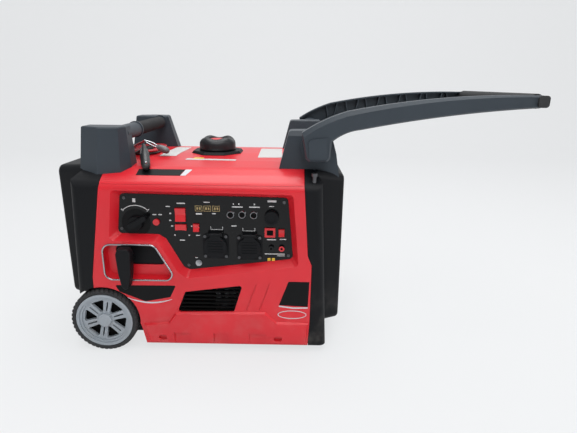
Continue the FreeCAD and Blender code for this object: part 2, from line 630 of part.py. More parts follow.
def control_panel():
    panel = prism(grown(PANEL_OUTLINE, -FIT), "xz", PANEL_Y, PANEL_Y + PANEL_T, PANEL_R)
    for x, z, w, h in (RUN_SWITCH, ECO_SWITCH, MODE_SWITCH, BREAKER_BUTTON):
        panel = panel_hole(panel, x, z, w, h, 0.8)
    panel = panel_hole(panel, *BREAKER_SWITCH, 0.2)
    rounds = [(START, START_R + 0.1), (DIAL, 5 + RUNNING), (DC_CAP, 6 + RUNNING)]
    rounds += [(p, SOCKET_R + 0.2) for p in SOCKETS]
    for (x, z), r in rounds:
        panel = panel.cut(rod("xz", x, z, r, PANEL_Y - 1, PANEL_Y + PANEL_T + 1))
    return panel


def panel_screws():
    places = PANEL_SCREWS + [(x + sx * SOCKET_SCREW, z + sz * SOCKET_SCREW)
                             for x, z in SOCKETS for sx in (-1, 1) for sz in (-1, 1)]
    screws = []
    for i, (x, z) in enumerate(places):
        front = PANEL_Y if i < len(PANEL_SCREWS) else PANEL_Y - 2.5
        head = rod("xz", x, z, SCREW_R, front - 1.6, front)
        head = head.cut(box(x - 2.2, x + 2.2, front - 2, front - 0.9, z - 0.4, z + 0.4))
        screws.append(head.cut(box(x - 0.4, x + 0.4, front - 2, front - 0.9, z - 2.2, z + 2.2)))
    return screws


def rocker(x, z, w, h, upright):
    """A rocker whose two halves slope, turning about a round pin along its middle line."""
    half = (h if upright else w) / 2
    y = PANEL_Y
    shape = [(y - 5.5, -half), (y - 3.0, 0), (y - 5.5, half), (y + 3.0, half), (y + 6.0, 0),
             (y + 3.0, -half)]
    if upright:
        body = prism([(a, b + z) for a, b in shape], "yz", x - w / 2, x + w / 2)
        return joined([body, rod("yz", y, z, PIVOT_PIN_R, x - w / 2 - 0.5, x + w / 2 + 0.5)])
    body = prism([(b + x, a) for a, b in shape], "xy", z - h / 2, z + h / 2)
    return joined([body, rod("xy", x, y, PIVOT_PIN_R, z - h / 2 - 0.5, z + h / 2 + 0.5)])


def fuel_dial():
    """The fuel and choke dial: a round base with a long pointer."""
    x, z = DIAL
    y = PANEL_Y
    base = Part.makeCone(DIAL_R, DIAL_R - 2, 8, V(x, y - TOUCH, z), V(0, -1, 0))
    a = math.radians(32)
    along = (math.cos(a), math.sin(a))
    side = (-math.sin(a), math.cos(a))
    bar = [(x + along[0] * s + side[0] * t, z + along[1] * s + side[1] * t)
           for s, t in ((-15, -6), (26, -5), (31, 0), (26, 5), (-15, 6))]
    pointer = prism(bar, "xz", y - 17, y - 5, 3.0)
    stem = rod("xz", x, z, 5, y - 2, y + PANEL_T + 6)
    return joined([base, pointer, stem])


def start_button():
    x, z = START
    button = rod("xz", x, z, START_R, PANEL_Y - 5, PANEL_Y + PANEL_T + 2)
    flange = rod("xz", x, z, START_R + 2, PANEL_Y + PANEL_T + TOUCH, PANEL_Y + PANEL_T + 2)
    return joined([button, flange])


def breaker_switch():
    x, z, w, h = BREAKER_SWITCH
    y = PANEL_Y
    head = box(x - w / 2, x + w / 2, y - 4, y + PANEL_T + 2, z - h / 2, z + h / 2)
    flange = box(x - w / 2 - 2, x + w / 2 + 2, y + PANEL_T + TOUCH, y + PANEL_T + 2, z - h / 2 - 2, z + h / 2 + 2)
    return joined([head, flange])


def ring_sockets():
    sockets = []
    for x, z in RINGS:
        flange = Part.makeCone(RING_SOCKET_R, RING_SOCKET_R - 2, 4, V(x, PANEL_Y, z), V(0, -1, 0))
        dish = Part.makeCone(RING_SOCKET_R - 2.6, RING_SOCKET_R - 5, 3.2, V(x, PANEL_Y - 4, z), V(0, 1, 0))
        sockets.append(flange.cut(dish))
    return sockets


def dc_cap():
    x, z = DC_CAP
    y = PANEL_Y
    cap = rod("xz", x, z, DC_CAP_R, y - 12, y - TOUCH)
    for i in range(18):
        a = i * math.pi / 9
        cap = cap.cut(rod("xz", x + (DC_CAP_R + 0.8) * math.cos(a), z + (DC_CAP_R + 0.8) * math.sin(a),
                          1.7, y - 13, y - 2))
    dish = rod("xz", x, z, DC_CAP_R - 5, y - 13, y - 10.5)
    stem = rod("xz", x, z, 6, y - 2, y + PANEL_T + 8)
    return joined([cap.cut(dish), stem])


def ac_sockets():
    """Two outlets: a square plate with a round body behind and slots for the blades."""
    outlets = []
    for x, z in SOCKETS:
        y = PANEL_Y
        plate = prism(rectangle(x - 27, x + 27, z - 27, z + 27), "xz", y - 2.5, y, 7.0)
        body = rod("xz", x, z, SOCKET_R, y - 4, y + 28)
        outlet = joined([plate, body])
        for dx in (-6.5, 6.5):
            outlet = outlet.cut(box(x + dx - 0.9, x + dx + 0.9, y - 5, y + 12, z - 2, z + 6))
        outlet = outlet.cut(rod("xz", x, z - 8, 1.9, y - 5, y + 12))
        for side in (-1, 1):
            ear = box(x + side * 14 - 1.5, x + side * 14 + 1.5, y - 12, y - 2.4,
                      z + LID_HINGE_UP - 4, z + LID_HINGE_UP + 4)
            outlet = outlet.fuse(ear)
        outlet = outlet.fuse(box(x - 15.5, x + 15.5, y - 2.5, y, z + 20, z + LID_HINGE_UP + 4))
        pin = rod("yz", y - 8, z + LID_HINGE_UP, 1.5, x - 15, x + 15)
        outlets.append(outlet.fuse(pin).removeSplitter())
    return outlets


def ac_lid(place):
    """A round sprung lid hung from the pin above its outlet."""
    x, z = place
    y = PANEL_Y
    disc = rod("xz", x, z, LID_R, y - 10, y - 4 - TOUCH)
    pocket = rod("xz", x, z, SOCKET_R + 0.8, y - 8.4, y - 4)
    ribs = [box(x - 16, x + 16, y - 11.2, y - 9.9, z - 12 + i * 6, z - 10 + i * 6) for i in range(5)]
    barrel = rod("yz", y - 8, z + LID_HINGE_UP, 3.2, x - 12, x + 12)
    neck = box(x - 11, x + 11, y - 10, y - 6.5, z + 20, z + LID_HINGE_UP)
    lid = joined([disc.cut(pocket), barrel, neck] + ribs)
    return lid.cut(rod("yz", y - 8, z + LID_HINGE_UP, 1.5 + RUNNING, x - 13, x + 13))


def lead_jacks():
    return [ring("xz", x, z, JACK_R, 2.0, PANEL_Y - 6, PANEL_Y) for x, z in JACKS]


def earth_terminal():
    x, z = EARTH
    y = PANEL_Y
    nut = prism([(x + 5.6 * math.cos(i * math.pi / 3), z + 5.6 * math.sin(i * math.pi / 3))
                 for i in range(6)], "xz", y - 6, y - 1.5)
    return joined([rod("xz", x, z, 6.6, y - 1.5, y), nut, rod("xz", x, z, 2.8, y - 9, y - 5)])


# ---------------------------------------------------------------- recoil starter
def recoil_bezel():
    y = -CASE_HALF_W
    trim = prism(grown(RING_OUTLINE, 1.0), "xz", y - RING_PROUD, y, RING_R + 1)
    trim = trim.cut(prism(grown(RING_OUTLINE, 1.0 - RING_W), "xz", y - RING_PROUD - 1, y + 1, RING_R - 2))
    return trim


def recoil_housing():
    """The plate behind the recess, with the rope's guide and the pulley's post."""
    y = -CASE_HALF_W + RECOIL_DEPTH + FRAME_WALL
    plate = prism(grown(OPENING_OUTLINE, 9.0), "xz", y, y + 3, 8.0)
    guide = rod("xz", GRIP_X, GRIP_Z, 10, -CASE_HALF_W + 1, y + 1)
    post = rod("xz", CRANK_X, CRANK_Z, POST_R, y + 2, y + 8 + PULLEY_T + 1)
    return joined([plate, guide, post])


def recoil_grip():
    """The pull grip: a flat tapering handle that stands across the recess."""
    y = -CASE_HALF_W - RING_PROUD - TOUCH
    edge = [(-166, 232), (-161, 243), (-140, 243), (-135, 232), (-138, 185), (-144, 158), (-149, 154),
            (-154, 154), (-159, 160), (-164, 190)]
    grip = prism(edge, "xz", y - GRIP_T, y, 4.0)
    grip = rounded(grip, 3.5, lambda e: all(p.Point.y < y - GRIP_T + 0.1 for p in e.Vertexes))
    neck = Part.makeCone(PULL_NECK_R + 2, PULL_NECK_R, 1 - TOUCH + RING_PROUD + TOUCH, V(GRIP_X, y, GRIP_Z), V(0, 1, 0))
    return joined([grip, neck])


def recoil_pulley():
    y = -CASE_HALF_W + RECOIL_DEPTH + FRAME_WALL + 8
    wheel = rod("xz", CRANK_X, CRANK_Z, PULLEY_R, y, y + PULLEY_T)
    wheel = wheel.cut(ring("xz", CRANK_X, CRANK_Z, PULLEY_R + 1, PULLEY_R - 9, y + 3, y + PULLEY_T - 3))
    return wheel.cut(rod("xz", CRANK_X, CRANK_Z, POST_R + RUNNING, y - 1, y + PULLEY_T + 1))


# ---------------------------------------------------------------- engine and electrics inside
CRANK_THROW = 27.0
BORE_R = 34.0
CYL_Y = -20.0
SHAFT_R = 12.0


def crankcase():
    case = prism(rectangle(-162, -60, 140, 270), "xz", -90, 50, 18.0)
    case = case.cut(prism(rectangle(-155, -67, 147, 263), "xz", -84, 44, 14.0))
    case = case.cut(rod("xz", CRANK_X, CRANK_Z, SHAFT_R + RUNNING, -91, 51))
    case = case.cut(Part.makeCylinder(BORE_R + 6, 20, V(-70, CYL_Y, CRANK_Z), V(1, 0, 0)))
    legs = [box(x, x + 22, y, y + 20, GROUND_GAP + WALL, 146) for x in (-150, -94) for y in (-88, 26)]
    return joined([case] + legs)


def cylinder_head():
    """The finned cylinder and its head, lying along the case."""
    barrel = Part.makeCylinder(BORE_R + 6, 106, V(-67, CYL_Y, CRANK_Z), V(1, 0, 0))
    fins = [box(-50 + i * 11, -46 + i * 11, CYL_Y - 52, CYL_Y + 52, CRANK_Z - 52, CRANK_Z + 52) for i in range(8)]
    head = box(36, 76, CYL_Y - 48, CYL_Y + 48, CRANK_Z - 44, CRANK_Z + 44)
    plug = Part.makeCylinder(7, 30, V(60, CYL_Y - 47, CRANK_Z), V(0, -1, 0))
    whole = joined([barrel, head, plug] + fins)
    return whole.cut(Part.makeCylinder(BORE_R, 99, V(-70, CYL_Y, CRANK_Z), V(1, 0, 0)))


def piston():
    body = Part.makeCylinder(BORE_R - RUNNING, 42, V(-16, CYL_Y, CRANK_Z), V(1, 0, 0))
    body = body.cut(Part.makeCylinder(BORE_R - 6, 36, V(-17, CYL_Y, CRANK_Z), V(1, 0, 0)))
    pin = Part.makeCylinder(8, 2 * BORE_R - 10, V(3, CYL_Y - BORE_R + 5, CRANK_Z), V(0, 1, 0))
    return joined([body, pin])


def connecting_rod():
    """The rod, opened where it would ride on the crankpin so that the crank turns free."""
    eye = ring("xz", 3, CRANK_Z, 13, 8 + RUNNING, CYL_Y - 8, CYL_Y + 8)
    shank = box(-58, -6, CYL_Y - 4, CYL_Y + 4, CRANK_Z - 8, CRANK_Z + 8)
    fork = box(-64, -56, CYL_Y - 8, CYL_Y + 8, CRANK_Z - 18, CRANK_Z + 18)
    return joined([eye, shank, fork])


def crankshaft():
    """The shaft with its two webs and pin, the cooling fan and the cup of the rotor."""
    shaft = rod("xz", CRANK_X, CRANK_Z, SHAFT_R, -165, CYL_Y - 14)
    tail = rod("xz", CRANK_X, CRANK_Z, SHAFT_R, CYL_Y + 14, 118)
    webs = [rod("xz", CRANK_X, CRANK_Z, 40, CYL_Y - 20, CYL_Y - 11),
            rod("xz", CRANK_X, CRANK_Z, 40, CYL_Y + 11, CYL_Y + 20)]
    pin = rod("xz", CRANK_X + CRANK_THROW, CRANK_Z, 11, CYL_Y - 14, CYL_Y + 14)
    cup = rod("xz", CRANK_X, CRANK_Z, 72, 62, 112).cut(rod("xz", CRANK_X, CRANK_Z, 64, 61, 106))
    blades = []
    for i in range(10):
        blade = box(CRANK_X + 10, CRANK_X + 48, -140, -112, CRANK_Z - 1.5, CRANK_Z + 1.5)
        blade.rotate(V(CRANK_X, 0, CRANK_Z), V(0, 1, 0), i * 36)
        blades.append(blade)
    fan = rod("xz", CRANK_X, CRANK_Z, 48, -112, -108)
    return joined([shaft, tail, pin, cup, fan] + webs + blades)


def stator():
    core = ring("xz", CRANK_X, CRANK_Z, 61, SHAFT_R + 4, 50, 102)
    for i in range(12):
        a = (i + 0.5) * math.pi / 6
        core = core.cut(rod("xz", CRANK_X + 47 * math.cos(a), CRANK_Z + 47 * math.sin(a), 7, 58, 103))
    return core


def muffler():
    body = prism(rectangle(-248, -162, 205, 330), "xz", -60, 44, 20.0)
    body = body.cut(prism(rectangle(-245, -165, 208, 327), "xz", -57, 41, 17.0))
    pipe = Part.makeCylinder(14, 22, V(-268, 10, 300), V(1, 0, 0))
    return joined([body, pipe]).cut(Part.makeCylinder(11, 40, V(-280, 10, 300), V(1, 0, 0)))


def carburettor():
    body = box(76, 112, CYL_Y - 18, CYL_Y + 18, CRANK_Z - 4, CRANK_Z + 36)
    bowl = rod("xy", 94, CYL_Y, 15, CRANK_Z - 26, CRANK_Z - 3)
    return joined([body, bowl]).cut(Part.makeCylinder(10, 40, V(75, CYL_Y, CRANK_Z + 16), V(1, 0, 0)))


def air_filter_box():
    body = prism(rectangle(112, 232, -60, 110), "xy", 190, 286, 12.0)
    return body.cut(prism(rectangle(115, 229, -57, 107), "xy", 193, 283, 9.0)).cut(
        Part.makeCylinder(10, 20, V(105, CYL_Y, CRANK_Z + 16), V(1, 0, 0)))


def inverter_box():
    body = box(20, 236, -150, -20, GROUND_GAP + WALL, 112)
    for i in range(12):
        x = 32 + i * 17
        body = body.cut(box(x, x + 9, -151, -19, 92, 113))
    return body.cut(box(24, 232, -146, -24, GROUND_GAP + WALL + 4, 88))


# ---------------------------------------------------------------- running gear
def wheel_axle():
    return rod("xz", WHEEL_X, WHEEL_Z, AXLE_R, -WHEEL_FACE_Y + 4, WHEEL_FACE_Y - 4)


def tyre():
    y0 = -WHEEL_FACE_Y
    y1 = y0 + WHEEL_W
    body = ring("xz", WHEEL_X, WHEEL_Z, TYRE_R, RIM_R, y0, y1)
    return rounded(body, 5.0, lambda e: abs(e.Length - 2 * math.pi * TYRE_R) < 0.5)


def rim():
    """The wheel's rim: a stepped ring, six double spokes with a slot in each, and the hub."""
    y0 = -WHEEL_FACE_Y + 2
    y1 = -WHEEL_FACE_Y + WHEEL_W - 2
    outer = ring("xz", WHEEL_X, WHEEL_Z, RIM_R, RIM_R - 6, y0, y1)
    step = ring("xz", WHEEL_X, WHEEL_Z, RIM_R - 5, RIM_R - 11, y0 + 3, y0 + 14)
    disc = rod("xz", WHEEL_X, WHEEL_Z, RIM_R - 5, y0 + 6, y0 + 13)
    for i in range(SPOKES):
        a = (i + 0.5) * 2 * math.pi / SPOKES + math.radians(18)
        window = []
        for r, spread in ((19, 0.14), (47, 0.33), (47, -0.33), (19, -0.14)):
            window.append((WHEEL_X + r * math.cos(a + spread), WHEEL_Z + r * math.sin(a + spread)))
        disc = disc.cut(prism(window, "xz", y0, y0 + 20, 3.0))
        b = i * 2 * math.pi / SPOKES + math.radians(18)
        slot = []
        for r, t in ((20, -1.7), (42, -1.7), (42, 1.7), (20, 1.7)):
            slot.append((WHEEL_X + r * math.cos(b) - t * math.sin(b), WHEEL_Z + r * math.sin(b) + t * math.cos(b)))
        disc = disc.cut(prism(slot, "xz", y0, y0 + 20, 1.2))
    hub = rod("xz", WHEEL_X, WHEEL_Z, 15, y0 - 1, y1)
    hub = rounded(hub, 2.5, lambda e: len(e.Vertexes) == 1 and e.Vertexes[0].Point.y < y0)
    wheel = joined([outer, step, disc, hub])
    bore_low = -WHEEL_FACE_Y + 4 - TOUCH
    return wheel.cut(rod("xz", WHEEL_X, WHEEL_Z, AXLE_R + RUNNING, bore_low, y1 + 1))


def rubber_feet():
    return [Part.makeCone(FOOT_R - 4, FOOT_R, GROUND_GAP + PAD_H, V(FOOT_X, side * FOOT_Y, 0)) for side in (-1, 1)]


# ---------------------------------------------------------------- battery lead put away on top
CORD_R = 2.4
COIL = (-196.0, -118.0, -62.0, 82.0)  # x from, x to, y from, y to
COIL_TOP = CROWN_Z + 14
BLACK_RUN = [(-150, -50, 414), (-146, -70, 424), (-139, -92, 433), (-132, -108, 436)]
BLACK_CLIP_END = (-102, -194, 396)
RED_RUN = [(-172, -28, 413), (-163, -39, 429), (-150, -45, 438)]
RED_CLIP_END = (-90, -56, 414)


def lead_coil():
    """The hank of the battery lead, lying on the top cover under the carrying bar."""
    return prism(rectangle(*COIL), "xy", CROWN_Z + FIT, COIL_TOP, 36.0)


def tube(points, r):
    """A round cord along straight runs joined by tangent arcs."""
    p = [V(*q) for q in points]
    edges = []
    last = p[0]
    for a, b, c in zip(p, p[1:], p[2:]):
        back = a - b
        ahead = c - b
        half = back.getAngle(ahead) / 2
        reach = 0.45 * min(back.Length, ahead.Length)
        bend = reach * math.tan(half)
        back.normalize()
        ahead.normalize()
        middle = back + ahead
        middle.normalize()
        first = b + back * reach
        edges.append(Part.LineSegment(last, first).toShape())
        edges.append(Part.Arc(first, b + middle * (bend / math.sin(half) - bend), b + ahead * reach).toShape())
        last = b + ahead * reach
        print("cord bend radius", round(bend, 1), "mm")
    edges.append(Part.LineSegment(last, p[-1]).toShape())
    path = Part.Wire(edges)
    print("cord run", round(path.Length, 1), "mm")
    ring_wire = Part.Wire(Part.makeCircle(r, p[0], p[1] - p[0]))
    return path.makePipeShell([ring_wire], True, False, 2)


def lead_clip(start, end, spread):
    """A battery clip lying between two points, wide at the handles and narrow at the jaws."""
    a = V(*start)
    b = V(*end)
    length = (b - a).Length
    half = spread / 2
    shape = [(0, -3), (length * 0.45, -half), (length, -half + 1), (length, half - 1),
             (length * 0.45, half), (0, 3)]
    clip = prism(shape, "xz", -5, 5, 2.0)
    clip.Placement = FreeCAD.Placement(a, FreeCAD.Rotation(V(1, 0, 0), b - a)).multiply(clip.Placement)
    return clip


def main():
    os.makedirs("parts", exist_ok=True)
    shell = case_block(0.0).cut(case_block(WALL, bottom=0.0))
    space = wheel_space()
    save("base_tray", base_tray(space))
    save("near_side_panel", near_side_panel(shell, space))
    save("far_side_panel", far_side_panel(shell, space))
    save("top_cover", top_cover(shell))
    save("left_end_frame", end_frame(shell, space, -1))
    save("right_end_frame", end_frame(shell, space, 1))
    save("left_end_cover", end_cover(-1))
    save("right_end_cover", end_cover(1))
    near = left_tower(NEAR_FOOT, NEAR_HEAD, COLLAR_ENDS[0])
    save("left_towers", near, mirrored(left_tower(FAR_FOOT, FAR_HEAD, COLLAR_ENDS[1])))
    save("right_towers", right_tower(), mirrored(right_tower()))
    save("carry_bar", carry_bar())
    save("carry_grip", carry_grip())
    save("tow_arms", tow_arm(), mirrored(tow_arm()))
    save("tow_grip_bar", tow_grip_bar())
    save("latch_plunger", latch_plunger())
    save("filler_flange", filler_flange())
    save("fuel_cap", fuel_cap())
    save("fuel_tank", fuel_tank())
    save("side_grille", side_grille())
    save("control_panel", control_panel())
    save("panel_screws", *panel_screws())
    save("run_switch", rocker(*RUN_SWITCH, True))
    save("eco_switch", rocker(*ECO_SWITCH, False))
    save("mode_switch", rocker(*MODE_SWITCH, True))
    save("breaker_button", rocker(*BREAKER_BUTTON, True))
    save("breaker_switch", breaker_switch())
    save("fuel_dial", fuel_dial())
    save("start_button", start_button())
    save("ring_sockets", *ring_sockets())
    save("dc_cap", dc_cap())
    save("ac_sockets", *ac_sockets())
    save("ac_lid_left", ac_lid(SOCKETS[0]))
    save("ac_lid_right", ac_lid(SOCKETS[1]))
    save("lead_jacks", *lead_jacks())
    save("earth_terminal", earth_terminal())
    save("recoil_bezel", recoil_bezel())
    save("recoil_housing", recoil_housing())
    save("recoil_grip", recoil_grip())
    save("recoil_pulley", recoil_pulley())
    save("crankcase", crankcase())
    save("cylinder_head", cylinder_head())
    save("piston", piston())
    save("connecting_rod", connecting_rod())
    save("crankshaft", crankshaft())
    save("stator", stator())
    save("muffler", muffler())
    save("carburettor", carburettor())
    save("air_filter_box", air_filter_box())
    save("inverter_box", inverter_box())
    save("wheel_axle", wheel_axle())
    save("tyre_near", tyre())
    save("tyre_far", mirrored(tyre()))
    save("wheel_rim_near", rim())
    save("wheel_rim_far", mirrored(rim()))
    save("rubber_feet", *rubber_feet())
    save("service_door", service_door())
    save("lead_coil", lead_coil())
    save("lead_cord", tube(BLACK_RUN, CORD_R), tube(RED_RUN, CORD_R))
    save("lead_clip_black", lead_clip(BLACK_RUN[-1], BLACK_CLIP_END, 15))
    save("lead_clip_red", lead_clip(RED_RUN[-1], RED_CLIP_END, 14))


main()
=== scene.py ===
import json
import math

import bpy
import numpy as np
from mathutils import Matrix, Vector


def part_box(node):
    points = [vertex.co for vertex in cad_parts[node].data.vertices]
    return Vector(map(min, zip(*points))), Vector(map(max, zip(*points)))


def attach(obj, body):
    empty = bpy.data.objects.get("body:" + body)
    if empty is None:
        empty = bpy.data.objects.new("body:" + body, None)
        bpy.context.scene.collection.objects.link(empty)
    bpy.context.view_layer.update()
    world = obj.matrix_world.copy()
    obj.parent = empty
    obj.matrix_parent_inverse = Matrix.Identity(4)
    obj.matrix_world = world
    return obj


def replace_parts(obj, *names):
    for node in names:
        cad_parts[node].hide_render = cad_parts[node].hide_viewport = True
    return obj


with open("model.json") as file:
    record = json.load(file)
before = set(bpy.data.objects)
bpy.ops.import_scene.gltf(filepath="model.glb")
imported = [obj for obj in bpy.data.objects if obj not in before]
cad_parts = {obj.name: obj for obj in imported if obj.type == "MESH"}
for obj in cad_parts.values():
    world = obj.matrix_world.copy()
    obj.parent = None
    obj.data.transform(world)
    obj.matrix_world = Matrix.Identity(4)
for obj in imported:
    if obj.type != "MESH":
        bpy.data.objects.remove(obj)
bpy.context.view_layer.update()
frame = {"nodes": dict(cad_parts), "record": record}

bl_info = {
    "name": "Wheeled generator finish",
    "version": (1, 0, 0),
    "blender": (4, 5, 0),
    "location": "View3D > Sidebar > Generator",
    "description": "Finishes, cords, trims and studio for a wheeled inverter generator",
    "category": "Object",
}

MM = 0.001
FLOOR_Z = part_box("rubber_feet")[0].z


# ---------------------------------------------------------------- settings
def colour(name, description, value):
    return bpy.props.FloatVectorProperty(
        name=name, description=description, default=value, subtype="COLOR", size=3, min=0.0, max=1.0)


def length(name, description, value):
    return bpy.props.FloatProperty(name=name, description=description, default=value, unit="LENGTH")


class GENERATOR_PG_colours(bpy.types.PropertyGroup):
    """The colours of the machine's finishes."""
    red: colour("Red", "Moulded side panels and top", (0.57, 0.0085, 0.0175))
    shell: colour("Shell", "Black end frames and covers", (0.0042, 0.0047, 0.0060))
    charcoal: colour("Charcoal", "Towers and tow arms", (0.030, 0.039, 0.049))
    panel: colour("Panel", "Gloss control panel", (0.0025, 0.0027, 0.0033))
    rim: colour("Rim", "Wheel rims", (0.27, 0.30, 0.33))
    print_white: colour("Print", "Printed marks", (0.52, 0.52, 0.52))
    amber: colour("Amber", "Warm printed marks", (0.30, 0.22, 0.09))
    silver: colour("Silver", "Silver flashes on the decals", (0.50, 0.52, 0.55))
    lead_red: colour("Lead red", "Red core of the battery lead", (0.42, 0.012, 0.022))


class GENERATOR_PG_sizes(bpy.types.PropertyGroup):
    """Sizes of the trims and cords that are added to the frame."""
    cord_d: length("Cord", "Diameter of each core of the battery lead", 0.0046)
    ring_r: length("Ring", "Radius of the bright ring round the pull start", 0.0018)
    tread_depth: length("Tread", "Depth of the tyres' tread", 0.0022)
    tread_blocks: bpy.props.IntProperty(
        name="Tread blocks", description="Tread blocks round each tyre", default=44, min=8)
    grip_ribs: bpy.props.IntProperty(
        name="Grip ribs", description="Ribs along the carrying grip", default=30, min=4)
    cap_lobes: bpy.props.IntProperty(
        name="Cap lobes", description="Waves round the fuel cap", default=4, min=3)
    coil_turns: bpy.props.FloatProperty(
        name="Coil turns", description="Turns of each core in the hank of battery lead", default=3.5, min=1.0)


class GENERATOR_PG_stage(bpy.types.PropertyGroup):
    """The studio and its camera."""
    lens: bpy.props.FloatProperty(
        name="Lens", description="Focal length", default=27.59, subtype="DISTANCE_CAMERA")
    eye: bpy.props.FloatVectorProperty(
        name="Eye", description="Where the camera stands", default=(0.1913, -1.0689, 0.5524),
        subtype="TRANSLATION", unit="LENGTH")
    pitch: bpy.props.FloatProperty(
        name="Pitch", description="How far the camera looks down", default=math.radians(16.719),
        subtype="ANGLE")
    roll: bpy.props.FloatProperty(
        name="Roll", description="Turn about the line of sight", default=math.radians(0.7424),
        subtype="ANGLE")
    yaw: bpy.props.FloatProperty(
        name="Yaw", description="Turn about the vertical", default=math.radians(0.411), subtype="ANGLE")
    backdrop: colour("Backdrop", "Wall and floor", (0.83, 0.84, 0.85))


def settings():
    scene = bpy.context.scene
    return scene.generator_colours, scene.generator_sizes, scene.generator_stage


# ---------------------------------------------------------------- shader building
class Field:
    """A socket used in plain arithmetic: each operator adds the Math node that it stands for."""

    def __init__(self, graph, socket):
        self.graph, self.socket = graph, socket

    def math(self, operation, *others):
        values = {i: v for i, v in enumerate((self,) + others)}
        return self.graph.add("ShaderNodeMath", {"operation": operation}, values)

    def reflected(self, operation, other):
        return self.graph.add("ShaderNodeMath", {"operation": operation}, {0: other, 1: self})

    def __add__(self, other):
        return self.math("ADD", other)

    def __sub__(self, other):
        return self.math("SUBTRACT", other)

    def __mul__(self, other):
        return self.math("MULTIPLY", other)

    def __rsub__(self, other):
        return self.reflected("SUBTRACT", other)

    __radd__ = __add__
    __rmul__ = __mul__

    def clamped(self):
        return self.math("MAXIMUM", 0.0).math("MINIMUM", 1.0)


class Finish:
    """A Principled material with the places that a finish is read from."""

    def __init__(self, name, rgb, roughness, **constants):
        self.material = bpy.data.materials.new(name)
        self.material.use_nodes = True
        self.tree = self.material.node_tree
        self.shader = self.tree.nodes["Principled BSDF"]
        self.shader.inputs["Base Color"].default_value = (*rgb, 1.0)
        self.shader.inputs["Roughness"].default_value = roughness
        for socket, value in constants.items():
            self.shader.inputs[socket.replace("_", " ")].default_value = value
        self.rgb = rgb
        self.place = self.add("ShaderNodeTexCoord", out="Object")

    def add(self, kind, set_to=None, values=None, out=0):
        """Adds a node: what it is set to comes first, then its sockets' values or links."""
        node = self.tree.nodes.new(kind)
        for name, value in (set_to or {}).items():
            setattr(node, name, value)
        for key, value in (values or {}).items():
            if isinstance(value, Field):
                self.tree.links.new(value.socket, node.inputs[key])
            else:
                node.inputs[key].default_value = value
        return Field(self, node.outputs[out])

    def feed(self, socket, field):
        self.tree.links.new(field.socket, self.shader.inputs[socket])

    def noise(self, scale, detail=3.0, rough=0.5, place=None):
        return self.add("ShaderNodeTexNoise", {}, {
            "Vector": place or self.place, "Scale": scale, "Detail": detail, "Roughness": rough})

    def cells(self, scale, feature="F1", place=None):
        return self.add("ShaderNodeTexVoronoi", {"feature": feature}, {
            "Vector": place or self.place, "Scale": scale})

    def stretched(self, x, y, z):
        """Object coordinates scaled on each axis, for brushed and ribbed finishes."""
        return self.add("ShaderNodeMapping", {}, {"Vector": self.place, "Scale": (x, y, z)})

    def ramp(self, field, low, high):
        """0 below low, 1 above high, and smooth between them."""
        return self.add("ShaderNodeMapRange", {"interpolation_type": "SMOOTHSTEP"}, {
            "Value": field, "From Min": low, "From Max": high})

    def height(self):
        return self.add("ShaderNodeSeparateXYZ", {}, {"Vector": self.place}, out="Z")

    def mix(self, mask, a, b):
        """Colour a where the mask is 0 and b where it is 1."""
        a, b = (c if isinstance(c, Field) else (*c, 1.0) for c in (a, b))
        return self.add("ShaderNodeMix", {"data_type": "RGBA"}, {0: mask, 6: a, 7: b}, out=2)

    def bump(self, field, strength, distance):
        self.feed("Normal", self.add("ShaderNodeBump", {}, {
            "Height": field, "Strength": strength, "Distance": distance}, out="Normal"))


def shade(rgb, by):
    return tuple(min(1.0, c * by) for c in rgb)


def lift(rgb, by):
    return tuple(min(1.0, c + by) for c in rgb)


def moulded(name, rgb, roughness, grain, depth, dust=0.03, **constants):
    """Moulded plastic: a fine pebble grain, slow changes of tone, scuffs, and dust low down."""
    finish = Finish(name, rgb, roughness, **constants)
    slow = finish.ramp(finish.noise(7.0, 4.0), 0.3, 0.7)
    scuffs = finish.ramp(finish.noise(1.0, 6.0, 0.7, finish.stretched(60.0, 60.0, 260.0)), 0.62, 0.8)
    low = finish.ramp(finish.height() * -1.0, -0.16, 0.02)
    dusty = (low * finish.ramp(finish.noise(34.0, 5.0), 0.42, 0.75)).clamped()
    tone = finish.mix(slow, shade(rgb, 0.93), shade(rgb, 1.06))
    tone = finish.mix(scuffs * 0.18, tone, lift(rgb, 0.05))
    finish.feed("Base Color", finish.mix(dusty * dust * 4.0, tone, (0.32, 0.29, 0.26)))
    finish.feed("Roughness", (slow * 0.05 + scuffs * 0.10 + dusty * 0.12 + (roughness - 0.03)).clamped())
    pebble = finish.noise(grain, 2.0) + finish.cells(grain * 0.6) * 0.5
    finish.bump(pebble, 0.35, depth)
    return finish.material


def brushed(name, rgb, roughness, along, metallic=1.0):
    """Metal with fine lines along one axis, faint stains and a worn sheen."""
    finish = Finish(name, rgb, roughness, Metallic=metallic)
    squeeze = [900.0, 900.0, 900.0]
    squeeze["XYZ".index(along)] = 14.0
    lines = finish.noise(1.0, 3.0, 0.6, finish.stretched(*squeeze))
    stains = finish.ramp(finish.noise(28.0, 4.0), 0.45, 0.75)
    finish.feed("Base Color", finish.mix(stains * 0.4, rgb, shade(rgb, 0.75)))
    finish.feed("Roughness", (lines * 0.16 + stains * 0.1 + (roughness - 0.08)).clamped())
    finish.bump(lines, 0.12, 0.0002)
    return finish.material


def cast_metal(name, rgb):
    """Sand-cast metal: coarse pits over a cloudy grey."""
    finish = Finish(name, rgb, 0.55, Metallic=0.85)
    clouds = finish.ramp(finish.noise(30.0, 5.0), 0.35, 0.7)
    finish.feed("Base Color", finish.mix(clouds, shade(rgb, 0.7), shade(rgb, 1.1)))
    finish.feed("Roughness", clouds * 0.2 + 0.42)
    finish.bump(finish.noise(700.0, 3.0), 0.5, 0.0004)
    return finish.material


